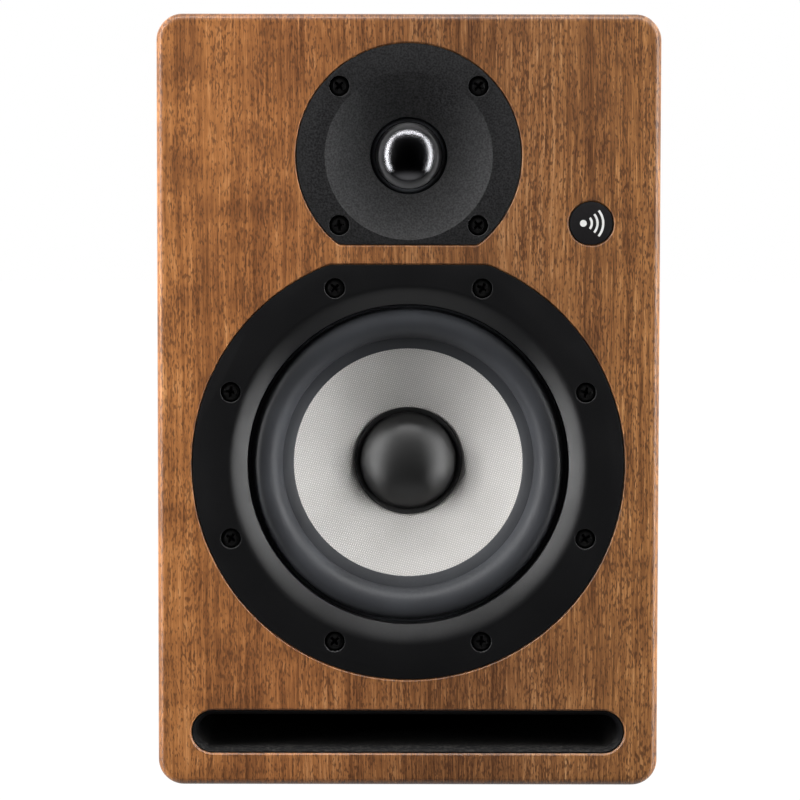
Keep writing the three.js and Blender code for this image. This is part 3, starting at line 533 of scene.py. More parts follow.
class Tree:
    """A node tree being built."""

    def __init__(self, tree: bpy.types.NodeTree) -> None:
        """Keeps the tree to build in."""
        self.tree = tree

    def feed(self, socket: Socket, value: object) -> None:
        """Links an output to a socket, or sets the socket to a plain value."""
        if isinstance(value, Socket):
            self.tree.links.new(value, socket)
        else:
            socket.default_value = value

    def add(self, kind: str, sockets: dict[str | int, object] | None = None, **settings: object) -> Node:
        """Adds a node.

        Args:
            kind: The node's type, without its ShaderNode prefix.
            sockets: Each input's plain value, or the output that feeds it.
            settings: The node's own settings.

        Returns:
            The node.
        """
        node = self.tree.nodes.new("ShaderNode" + kind)
        for name, value in settings.items():
            setattr(node, name, value)
        for key, value in (sockets or {}).items():
            self.feed(node.inputs[key], value)
        return node

    def own(self) -> Socket:
        """Adds the piece's own coordinates."""
        return self.add("TexCoord").outputs["Object"]

    def split(self, vector: object) -> Sequence[Socket]:
        """Adds the three parts of a vector."""
        return self.add("SeparateXYZ", {0: vector}).outputs

    def math(self, operation: str, first: object, second: object = 0.0, clamp: bool = False) -> Socket:
        """Adds a sum of one or two numbers.

        Args:
            operation: What is done with them.
            first: A number or an output.
            second: The same.
            clamp: Whether the result stays within 0 and 1.

        Returns:
            The result.
        """
        return self.add("Math", {0: first, 1: second}, operation=operation, use_clamp=clamp).outputs[0]

    def plus(self, first: object, second: object) -> Socket:
        """Adds a sum."""
        return self.math("ADD", first, second)

    def less(self, first: object, second: object) -> Socket:
        """Adds a difference."""
        return self.math("SUBTRACT", first, second)

    def times(self, first: object, second: object) -> Socket:
        """Adds a product."""
        return self.math("MULTIPLY", first, second)

    def noise(self, vector: object, scale: object, detail: float = 2.0, roughness: float = 0.5) -> Socket:
        """Adds a cloud of soft noise.

        Args:
            vector: Where it is read.
            scale: How many clouds there are to a unit.
            detail: How many finer layers it has.
            roughness: How strong those are.

        Returns:
            Its value.
        """
        sockets = {"Vector": vector, "Scale": scale, "Detail": detail, "Roughness": roughness}
        return self.add("TexNoise", sockets).outputs["Fac"]

    def span(
        self, value: object, low: float, high: float, out_low: float = 0.0, out_high: float = 1.0
    ) -> Socket:
        """Adds a map from one range to another, held at its ends.

        Args:
            value: The number that is mapped.
            low: Where the range starts.
            high: Where it ends.
            out_low: What its start becomes.
            out_high: What its end becomes.

        Returns:
            The result.
        """
        sockets = {"Value": value, "From Min": low, "From Max": high, "To Min": out_low, "To Max": out_high}
        return self.add("MapRange", sockets, clamp=True).outputs[0]

    def ramp(self, value: object, stops: Sequence[tuple[float, Colour]]) -> Socket:
        """Adds a colour ramp.

        Args:
            value: The number that picks the colour.
            stops: Each place with its colour.

        Returns:
            The colour.
        """
        node = self.add("ValToRGB", {0: value})
        elements = node.color_ramp.elements
        while len(elements) < len(stops):
            elements.new(0.5)
        for element, (place, colour) in zip(elements, stops):
            element.position = place
            element.color = colour
        return node.outputs[0]

    def mix(self, share: object, first: object, second: object, blend: str = "MIX") -> Socket:
        """Adds a mix of two colours.

        Args:
            share: How much of the second.
            first: A colour or an output.
            second: The same.
            blend: How they are mixed.

        Returns:
            The colour.
        """
        sockets = {0: share, 6: first, 7: second}
        return self.add("Mix", sockets, data_type="RGBA", blend_type=blend).outputs[2]

    def flat(self) -> Socket:
        """Adds the piece's own coordinates, turned so that Y runs up the piece."""
        sockets = {"Vector": self.own(), "Rotation": (math.radians(90), 0.0, 0.0)}
        return self.add("Mapping", sockets).outputs[0]

    def stretch(self, vector: object, scale: Sequence[float]) -> Socket:
        """Adds a stretch of a vector, axis by axis."""
        return self.add("VectorMath", {0: vector, 1: scale}, operation="MULTIPLY").outputs[0]

    def group(self, shared: Group, **values: object) -> Node:
        """Places a shared effect.

        Args:
            shared: Its node group.
            values: Its inputs, by name.

        Returns:
            The node.
        """
        return self.add("Group", values, node_tree=shared)


class Effects:
    """The effects that several finishes share, each built once as a node group."""

    @staticmethod
    def new(
        name: str, takes: dict[str, tuple[str, float]], gives: Sequence[str]
    ) -> tuple[Tree, dict[str, Socket], dict[str, Socket]]:
        """Starts a node group.

        Args:
            name: The group's name.
            takes: Each input's name with its socket type and value.
            gives: The names of its number outputs.

        Returns:
            The tree, its inputs by name, and the sockets that its outputs are fed through, by name.
        """
        shared = bpy.data.node_groups.new(name, "ShaderNodeTree")
        for title, (kind, value) in takes.items():
            socket = shared.interface.new_socket(title, in_out="INPUT", socket_type="NodeSocket" + kind)
            if kind == "Float":
                socket.default_value = value
        for title in gives:
            shared.interface.new_socket(title, in_out="OUTPUT", socket_type="NodeSocketFloat")
        entry = shared.nodes.new("NodeGroupInput")
        leave = shared.nodes.new("NodeGroupOutput")
        inputs = {s.name: s for s in entry.outputs if s.name}
        return Tree(shared), inputs, {s.name: s for s in leave.inputs if s.name}

    @staticmethod
    @cache
    def figure() -> Group:
        """Walnut's figure: bands, streaks, pores and clouds. X runs across the grain and Y along it.

        Returns:
            The node group.
        """
        names = ["Bands", "Streaks", "Fibre", "Pores", "Clouds"]
        tree, takes, gives = Effects.new("walnut figure", {"Vector": ("Vector", 0.0)}, names)
        own = takes["Vector"]
        parts = tree.split(own)
        sway = tree.noise(tree.stretch(own, (14.0, 6.0, 8.0)), 1.0)
        across = tree.plus(parts[0], tree.times(tree.less(sway, 0.5), 0.006))
        grain = tree.add("CombineXYZ", {0: across, 1: parts[1], 2: parts[2]}).outputs[0]
        bands = tree.noise(tree.stretch(grain, (70.0, 3.0, 12.0)), 1.0, 2.0, 0.55)
        streaks = tree.noise(tree.stretch(grain, (760.0, 9.0, 60.0)), 1.0, 3.0, 0.75)
        fibre = tree.noise(tree.stretch(grain, (1450.0, 38.0, 300.0)), 1.0, 3.0, 0.95)
        dashes = tree.noise(tree.stretch(grain, (1800.0, 480.0, 900.0)), 1.0, 1.0)
        crowd = tree.noise(tree.stretch(grain, (260.0, 20.0, 40.0)), 1.0)
        reach = tree.span(crowd, 0.36, 0.64, 0.58, 0.48)
        pores = tree.math("MULTIPLY", tree.less(dashes, reach), 9.0, clamp=True)
        clouds = tree.noise(tree.stretch(own, (42.0, 74.0, 30.0)), 1.0, 3.0, 0.6)
        for name, value in zip(names, (bands, streaks, fibre, pores, clouds)):
            tree.feed(gives[name], value)
        return tree.tree

    @staticmethod
    @cache
    def speckle() -> Group:
        """The fine grain of a moulded or sprayed surface, and slow patches in its gloss.

        Returns:
            The node group.
        """
        tree, takes, gives = Effects.new("fine speckle", {"Grain": ("Float", 3000.0)}, ["Speckle", "Patches"])
        own = tree.own()
        tree.feed(gives["Speckle"], tree.noise(own, takes["Grain"], 1.0))
        tree.feed(gives["Patches"], tree.noise(own, 38.0, 3.0, 0.6))
        return tree.tree

    @staticmethod
    @cache
    def dust() -> Group:
        """A thin settled dust on what faces up.

        Returns:
            The node group.
        """
        tree, takes, gives = Effects.new("settled dust", {"Amount": ("Float", 0.1)}, ["Dust"])
        up = tree.split(tree.add("NewGeometry").outputs["Normal"])[2]
        grains = tree.span(tree.noise(tree.own(), 900.0, 2.0, 0.7), 0.45, 0.75)
        lying = tree.span(up, 0.15, 1.0)
        tree.feed(gives["Dust"], tree.times(tree.times(grains, lying), takes["Amount"]))
        return tree.tree

    @staticmethod
    @cache
    def weave() -> Group:
        """A plain weave in X and Y: threads that pass over and under.

        Returns:
            The node group.
        """
        tree, takes, gives = Effects.new(
            "plain weave", {"Vector": ("Vector", 0.0), "Threads": ("Float", 1200.0)}, ["Thread", "Which"]
        )
        parts = tree.split(takes["Vector"])
        phases = [tree.times(tree.times(parts[axis], takes["Threads"]), math.pi) for axis in (0, 1)]
        across, along = (tree.math("SINE", phase) for phase in phases)
        over = tree.math("GREATER_THAN", tree.times(across, along), 0.0)
        warp = tree.times(tree.math("ABSOLUTE", across), over)
        weft = tree.times(tree.math("ABSOLUTE", along), tree.less(1.0, over))
        tree.feed(gives["Thread"], tree.plus(warp, weft))
        tree.feed(gives["Which"], over)
        return tree.tree


def start(
    name: str,
    roughness: float = 0.5,
    metallic: float = 0.0,
    specular: float = 0.5,
    coat: float = 0.0,
    coat_roughness: float = 0.1,
) -> tuple[Material, Tree, Node]:
    """Starts a material.

    Args:
        name: The material's name.
        roughness: How dull it is.
        metallic: 1 for bare metal.
        specular: How strongly it reflects.
        coat: The share of a clear coat.
        coat_roughness: How dull that is.

    Returns:
        The material, its tree and its shader.
    """
    material = bpy.data.materials.new(name)
    material.use_nodes = True
    shader = material.node_tree.nodes["Principled BSDF"]
    settings = {
        "Roughness": roughness, "Metallic": metallic, "Specular IOR Level": specular,
        "Coat Weight": coat, "Coat Roughness": coat_roughness,
    }
    for title, value in settings.items():
        shader.inputs[title].default_value = value
    return material, Tree(material.node_tree), shader


def feed(
    tree: Tree,
    shader: Node,
    colour: Socket,
    roughness: Socket | None = None,
    height: Socket | None = None,
    depth: float = 0.0001,
    strength: float = 1.0,
) -> None:
    """Connects what varies over a surface to its shader.

    Args:
        tree: The material's tree.
        shader: Its shader.
        colour: The colour's output.
        roughness: The roughness's output.
        height: The relief's output.
        depth: The relief's depth in metres.
        strength: How much of it shows.
    """
    tree.feed(shader.inputs["Base Color"], colour)
    if roughness is not None:
        tree.feed(shader.inputs["Roughness"], roughness)
    if height is not None:
        bump = tree.add("Bump", {"Height": height, "Distance": depth, "Strength": strength})
        tree.feed(shader.inputs["Normal"], bump.outputs[0])


class GrainRun(Enum):
    """How a board's grain is laid out: on the piece's own X and Z, or on its own map."""

    UPRIGHT = "upright"
    WRAPPED = "wrapped"


@dataclass(frozen=True)
class Walnut:
    """Oiled walnut veneer with a satin lacquer, and painted light: lighter towards the left and right edges,
    darker across the middle.
    """

    name: str
    run: GrainRun
    half_width: float = 92.5 * MM
    dark: Colour = paint(88, 53, 29)
    brown: Colour = paint(130, 83, 46)
    gold: Colour = paint(166, 110, 62)
    pale: Colour = paint(200, 148, 98)
    pore: Colour = paint(66, 38, 22)

    def build(self) -> Material:
        """Makes the material.

        Returns:
            The material.
        """
        material, tree, shader = start(self.name, 0.42, coat=0.25, coat_roughness=0.3)
        if self.run is GrainRun.UPRIGHT:
            own = tree.split(tree.own())
            vector = tree.add("CombineXYZ", {0: own[0], 1: own[2], 2: own[1]}).outputs[0]
        else:
            vector = tree.add("UVMap", uv_map="grain").outputs[0]
        figure = tree.group(Effects.figure(), Vector=vector).outputs
        bands = tree.span(figure["Bands"], 0.30, 0.70)
        streaks = tree.span(figure["Streaks"], 0.26, 0.74)
        fibre = tree.span(figure["Fibre"], 0.25, 0.75)
        clouds = tree.span(figure["Clouds"], 0.25, 0.75)
        side = tree.span(tree.split(vector)[0], -self.half_width, self.half_width)
        tone = tree.plus(tree.times(bands, 0.17), tree.times(streaks, 0.32))
        crisp = tree.span(side, 0.0, 0.6, 0.42, 0.80)
        tone = tree.plus(tone, tree.times(tree.less(fibre, 0.5), crisp))
        tone = tree.plus(tone, 0.215)
        cloudy = tree.span(side, 0.0, 0.8, 0.30, 0.10)
        tone = tree.plus(tone, tree.times(tree.less(clouds, 0.35), cloudy))
        stops = [(0.18, self.dark), (0.42, self.brown), (0.62, self.gold), (0.84, self.pale)]
        wood = tree.ramp(tone, stops)
        # Painted light: a tint across X that is lighter near the left and right edges and darker and cooler
        # across the middle, standing in for the side lamps falling off towards the centre.
        painted_side_light = [
            (0.0, paint(255, 252, 246)), (0.25, paint(246, 242, 242)), (0.55, paint(203, 204, 211)),
            (0.75, paint(220, 225, 236)), (1.0, paint(246, 253, 255)),
        ]
        wood = tree.mix(1.0, wood, tree.ramp(side, painted_side_light), "MULTIPLY")
        depth = tree.span(side, 0.0, 0.6, 0.62, 0.76)
        wood = tree.mix(tree.times(figure["Pores"], depth), wood, self.pore)
        relief = tree.less(tree.times(fibre, 0.4), figure["Pores"])
        dull = tree.span(streaks, 0.0, 1.0, 0.38, 0.48)
        feed(tree, shader, wood, dull, relief, 0.00004, 0.5)
        return material


@dataclass(frozen=True)
class Moulded:
    """Moulded plastic, sprayed paint or powder coat: one colour with a fine grain."""

    name: str
    colour: Chart
    lift: Chart
    roughness: float = 0.45
    grain: float = 3000.0
    relief: float = 0.00001
    contrast: float = 0.5
    dust: float = 0.12
    specular: float = 0.3
    metallic: float = 0.0

    def build(self) -> Material:
        """Makes the material.

        Returns:
            The material.
        """
        material, tree, shader = start(self.name, self.roughness, self.metallic, self.specular)
        speckle = tree.group(Effects.speckle(), Grain=self.grain).outputs
        dust = tree.group(Effects.dust(), Amount=self.dust).outputs[0]
        share = tree.times(tree.span(speckle["Speckle"], 0.32, 0.68), self.contrast)
        colour = tree.mix(share, paint(*self.colour), paint(*self.lift))
        colour = tree.mix(dust, colour, paint(150, 146, 140))
        dull = tree.span(speckle["Patches"], 0.3, 0.7, self.roughness - 0.04, self.roughness + 0.05)
        feed(tree, shader, colour, dull, speckle["Speckle"], self.relief, 0.8)
        return material


@dataclass(frozen=True)
class Rubber:
    """The surround's satin rubber, with the faint turning marks of its mould."""

    name: str = "surround_rubber"
    colour: Colour = paint(40, 41, 44)
    worn: Colour = paint(52, 54, 58)

    def build(self) -> Material:
        """Makes the material.

        Returns:
            The material.
        """
        material, tree, shader = start(self.name, 0.48, specular=0.42)
        speckle = tree.group(Effects.speckle(), Grain=2200.0).outputs
        dust = tree.group(Effects.dust(), Amount=0.10).outputs[0]
        colour = tree.mix(tree.span(speckle["Patches"], 0.25, 0.8), self.colour, self.worn)
        colour = tree.mix(dust, colour, paint(130, 132, 134))
        dull = tree.span(speckle["Patches"], 0.3, 0.7, 0.46, 0.56)
        feed(tree, shader, colour, dull, speckle["Speckle"], 0.00002, 0.5)
        return material


@dataclass(frozen=True)
class WovenFibre:
    """The cone's fine woven fibre under a clear resin."""

    name: str = "cone_weave"
    warp: Colour = paint(234, 231, 228)
    weft: Colour = paint(202, 199, 196)
    gap: Colour = paint(150, 147, 144)

    def build(self) -> Material:
        """Makes the material.

        Returns:
            The material.
        """
        material, tree, shader = start(self.name, 0.42, specular=0.45)
        flat = tree.flat()
        turned_by = tree.add("Mapping", {"Vector": flat, "Rotation": (0.0, 0.0, math.radians(29))}).outputs[0]
        weave = tree.group(Effects.weave(), Vector=turned_by, Threads=1750.0).outputs
        patches = tree.noise(flat, 60.0, 3.0, 0.6)
        threads = tree.mix(weave["Which"], self.weft, self.warp)
        threads = tree.mix(tree.span(weave["Thread"], 0.1, 0.8, 0.7, 0.0), threads, self.gap)
        colour = tree.mix(tree.span(patches, 0.3, 0.7, 0.0, 0.14), threads, paint(150, 147, 142))
        dull = tree.span(weave["Thread"], 0.0, 1.0, 0.55, 0.4)
        feed(tree, shader, colour, dull, weave["Thread"], 0.00012, 0.7)
        return material


@dataclass(frozen=True)
class Metal:
    """Bare, plated or anodised metal with fine scratches."""

    name: str
    colour: Colour
    tarnish: Colour
    roughness: float = 0.28
    stretch: Sequence[float] = (900.0, 900.0, 900.0)
    relief: float = 0.00001

    def build(self) -> Material:
        """Makes the material.

        Returns:
            The material.
        """
        material, tree, shader = start(self.name, self.roughness, 1.0)
        own = tree.own()
        scratches = tree.noise(tree.stretch(own, self.stretch), 1.0, 2.0, 0.6)
        patches = tree.noise(own, 55.0, 3.0, 0.6)
        colour = tree.mix(tree.span(patches, 0.3, 0.75), self.colour, self.tarnish)
        dull = tree.span(scratches, 0.3, 0.7, self.roughness - 0.05, self.roughness + 0.07)
        feed(tree, shader, colour, dull, scratches, self.relief, 0.6)
        return material


@dataclass(frozen=True)
class DomeFoil:
    """The tweeter dome's blackened foil: a grainy gleam, and a painted grey sheen where it is seen edge on,
    standing in for the room's reflection.
    """

    name: str = "dome_foil"
    colour: Colour = paint(84, 84, 86)
    painted_edge_sheen: Colour = paint(165, 165, 167)

    def build(self) -> Material:
        """Makes the material.

        Returns:
            The material.
        """
        material, tree, shader = start(self.name, 0.17, 1.0)
        grains = tree.noise(tree.own(), 5200.0, 1.0, 0.5)
        facing = tree.add("LayerWeight", {"Blend": 0.5}).outputs["Facing"]
        colour = tree.mix(tree.span(grains, 0.3, 0.7, 0.0, 0.3), self.colour, paint(60, 60, 62))
        feed(tree, shader, colour, None, grains, 0.00003, 0.6)
        # Painted sheen: a grey diffuse layer mixed in where the dome is seen edge on, in place of the grey
        # reflection of the room round the lamps.
        matte = tree.add("BsdfDiffuse", {"Color": self.painted_edge_sheen, "Roughness": 0.5})
        share = tree.span(facing, 0.22, 0.42, 0.0, 0.75)
        final = tree.add("MixShader", {0: share, 1: shader.outputs[0], 2: matte.outputs[0]})
        tree.feed(material.node_tree.nodes["Material Output"].inputs[0], final.outputs[0])
        return material


@dataclass(frozen=True)
class Cloth:
    """Plain woven cloth, seen on the spider and the wadding's skin."""

    name: str
    colour: Colour
    shade: Colour
    threads: float = 900.0
    relief: float = 0.00015

    def build(self) -> Material:
        """Makes the material.

        Returns:
            The material.
        """
        material, tree, shader = start(self.name, 0.85, specular=0.25)
        shader.inputs["Sheen Weight"].default_value = 0.3
        flat = tree.flat()
        weave = tree.group(Effects.weave(), Vector=flat, Threads=self.threads).outputs
        fuzz = tree.noise(flat, 700.0, 3.0, 0.7)
        height = tree.plus(tree.times(weave["Thread"], 0.6), tree.times(fuzz, 0.6))
        colour = tree.mix(tree.span(height, 0.2, 1.0), self.shade, self.colour)
        feed(tree, shader, colour, None, height, self.relief)
        return material


@dataclass(frozen=True)
class Winding:
    """Enamelled wire or tape wound side by side: along the Y axis, or as spokes round an upright axis."""

    name: str
    colour: Colour
    shade: Colour
    pitch: float = 0.0004
    metallic: float = 0.9
    roughness: float = 0.35
    spokes: int = 0
    about: Point = (0.0, 0.0)

    def build(self) -> Material:
        """Makes the material.

        Returns:
            The material.
        """
        material, tree, shader = start(self.name, self.roughness, self.metallic)
        own = tree.split(tree.own())
        if self.spokes:
            x, y = (tree.less(own[axis], self.about[axis]) for axis in (0, 1))
            phase = tree.times(tree.math("ARCTAN2", y, x), self.spokes / 2)
        else:
            phase = tree.times(own[1], math.pi / self.pitch)
        turns = tree.math("ABSOLUTE", tree.math("SINE", phase))
        patches = tree.noise(tree.own(), 120.0, 2.0)
        colour = tree.mix(tree.span(turns, 0.1, 0.7), self.shade, self.colour)
        dull = tree.span(patches, 0.3, 0.7, self.roughness, self.roughness + 0.2)
        feed(tree, shader, colour, dull, turns, self.pitch * 0.4)
        return material


@dataclass(frozen=True)
class CircuitBoard:
    """Green laminate with darker traces under the mask."""

    name: str = "circuit_board"

    def build(self) -> Material:
        """Makes the material.

        Returns:
            The material.
        """
        material, tree, shader = start(self.name, 0.35)
        own = tree.add("Mapping", {"Vector": tree.own(), "Scale": (260.0, 260.0, 260.0)}).outputs[0]
        traces = tree.add("TexBrick", {
            "Vector": own, "Scale": 1.0, "Color1": paint(26, 92, 52), "Color2": paint(20, 76, 44),
            "Mortar": paint(44, 118, 70), "Mortar Size": 0.08,
        })
        feed(tree, shader, traces.outputs["Color"], None, traces.outputs["Fac"], 0.00003)
        return material


class Finishes:
    """Every finish of the speaker, built once."""

    def __init__(self, places: "Places") -> None:
        """Builds the finishes.

        Args:
            places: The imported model's places.
        """
        self.baffle_wood = Walnut("walnut_front", GrainRun.UPRIGHT).build()
        self.sleeve_wood = Walnut("walnut_sleeve", GrainRun.WRAPPED).build()
        self.ring = self.moulded(
            "trim_ring_satin", (13, 13, 14), (22, 22, 23), 0.37, 2600.0, 0.000008, dust=0.03, specular=0.36
        )
        self.faceplate = self.moulded(
            "faceplate_paint", (4, 4, 5), (49, 49, 50), 0.55, 1500.0, 0.00005, 0.55, 0.03
        )
        self.port = self.moulded("port_plastic", (10, 10, 11), (15, 15, 16), 0.5, 2400.0)
        self.black = self.moulded("black_plastic", (24, 24, 25), (32, 32, 33), 0.42, 2600.0)
        self.gloss = self.moulded(
            "badge_satin", (26, 25, 26), (32, 31, 32), 0.34, 1400.0, 0.000004, dust=0.04
        )
        self.mark = self.moulded("printed_mark", (206, 206, 204), (222, 222, 220), 0.5, 4000.0, dust=0.05)
        self.cap = self.moulded(
            "dust_cap_matte", (22, 22, 22), (29, 29, 29), 0.46, 3200.0, 0.000012, dust=0.03, specular=0.75
        )
        self.soft_black = self.moulded("knob_soft_black", (23, 23, 24), (30, 30, 31), 0.55, 3000.0)
        self.screw = self.moulded(
            "screw_black_oxide", (46, 46, 47), (62, 61, 60), 0.3, 2000.0, 0.00001, metallic=0.85
        )
        self.powder = self.moulded("powder_coat", (27, 27, 28), (44, 44, 45), 0.5, 1500.0, 0.00004)
        self.anodised = self.moulded(
            "heat_sink_anodised", (26, 26, 27), (33, 33, 34), 0.36, 1400.0, metallic=0.5
        )
        self.back_paint = self.moulded("rear_board_paint", (28, 28, 28), (40, 40, 40), 0.62, 1100.0, 0.00005)
        self.basket = self.moulded("basket_paint", (26, 26, 27), (34, 34, 35), 0.45, 1900.0)
        self.foam = self.moulded("gasket_foam", (26, 26, 26), (44, 44, 44), 0.9, 1200.0, 0.0002)
        self.ferrite = self.moulded("magnet_ferrite", (48, 48, 50), (66, 66, 68), 0.6, 800.0, 0.00006)
        self.red = self.moulded("slider_red", (170, 24, 22), (186, 40, 34), 0.4, 2400.0)
        self.wire = self.moulded("lead_insulation", (142, 24, 22), (158, 38, 34), 0.45, 1800.0)
        self.ring_red = self.moulded("phono_red", (176, 28, 26), (190, 44, 38), 0.35, 2400.0)
        self.rubber = Rubber().build()
        self.weave = WovenFibre().build()
        self.dome = DomeFoil().build()
        self.steel = Metal("zinc_steel", paint(176, 176, 172), paint(150, 150, 148), 0.3).build()
        self.nickel = Metal("nickel_plate", paint(214, 212, 206), paint(196, 194, 188), 0.16).build()
        self.brass = Metal("contact_brass", paint(222, 186, 110), paint(204, 166, 92), 0.22).build()
        self.copper = Winding("coil_copper", paint(196, 112, 60), paint(116, 58, 28)).build()
        middle = places.middle("power_transformer")
        tape = paint(206, 164, 74), paint(160, 118, 46)
        self.tape = Winding("transformer_tape", *tape, 0.004, 0.0, 0.45, 44, (middle.x, middle.y)).build()
        self.spider = Cloth("spider_cloth", paint(196, 152, 82), paint(150, 108, 50)).build()
        self.wool = Cloth("wadding", paint(232, 230, 224), paint(198, 195, 188), 260.0, 0.0006).build()
        self.board = CircuitBoard().build()

    @staticmethod
    def moulded(*sizes: object, **settings: float) -> Material:
        """A moulded or sprayed finish, with the fields of Moulded."""
        return Moulded(*sizes, **settings).build()


# ---- places


@dataclass(frozen=True)
class Places:
    """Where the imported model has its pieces."""

    front: float
    back: float
    half_width: float
    height: float
    woofer: Point
    tweeter: Point
    slot: Point
    plate: Point
    plate_face: float

    @staticmethod
    def middle(node: str) -> Vector:
        """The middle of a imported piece's box."""
        low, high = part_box(node)
        return (Vector(low) + Vector(high)) / 2

    @classmethod
    def read(cls) -> "Places":
        """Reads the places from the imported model.

        Returns:
            The places.
        """
        low, high = (Vector(v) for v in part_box("front_baffle"))
        nodes = ("woofer_magnet", "tweeter_dome", "port_duct", "amp_plate")
        cone, dome, slot, plate = (cls.middle(node) for node in nodes)
        return cls(
            front=low.y, back=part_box("left_side_panel")[1][1], half_width=high.x, height=high.z,
            woofer=(0.0, cone.z), tweeter=(0.0, dome.z), slot=(0.0, slot.z), plate=(0.0, plate.z),
            plate_face=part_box("amp_plate")[1][1],
        )


def bored(place: Point, radius: float, front: float, depth: float, chamfer: float, sides: int = 48) -> Mesh:
    """A tool that bores a hole with a chamfered mouth.

    Args:
        place: The hole's X and Z.
        radius: Its radius.
        front: The depth of the face it starts in.
        depth: How deep it goes.
        chamfer: The width of the chamfer.
        sides: How many sides it has.

    Returns:
        The tool.
    """
    wide = circle(place, radius + chamfer + 0.5 * MM, sides)
    straight = circle(place, radius, sides)
    return lofted([(wide, front - 0.5 * MM), (straight, front + chamfer), (straight, front + depth)])


@dataclass(frozen=True)
class PanScrew:
    """A pan-head screw with a cross recess, along +Y from its head."""

    radius: float = 3.4 * MM
    height: float = 2.1 * MM
    shank: float = 1.9 * MM
    length: float = 13.4 * MM

    def build(self, place: Point, front: float, facing: float) -> Mesh:
        """Builds the screw.

        Args:
            place: Its X and Z.
            front: The depth of its head's crown.
            facing: The turn of its cross, in radians.

        Returns:
            The mesh.
        """
        r, h = self.radius, self.height
        head = [(0.0, 0.0), (0.45, 0.02), (0.72, 0.12), (0.9, 0.3), (1.0, 0.55), (1.0, 0.95), (0.97, 1.0)]
        tip = h + self.length
        shank = [(self.shank, h), (self.shank, tip), (0.0, tip + 1.5 * MM)]
        body = turned([(r * across, h * down) for across, down in head] + shank, 40)
        arm, half = 0.62 * r, 0.16 * r

        def cross(scale: float) -> Outline:
            """The cross at one depth."""
            a, b = arm * scale, half * (0.5 + 0.5 * scale)
            upper = [(a, -b), (a, b), (b, b), (b, a), (-b, a), (-b, b)]
            return upper + [(-x, -z) for x, z in upper]

        depths = {1.35: -0.12 * MM, 0.98: 0.14 * MM, 0.86: 0.4 * h, 0.42: 0.85 * h}
        recess = lofted([(cross(scale), depth) for scale, depth in depths.items()])
        made = turn(carve(body, [recess]), facing)
        return shift(made, place[0], front, place[1])


# ---- the cabinet


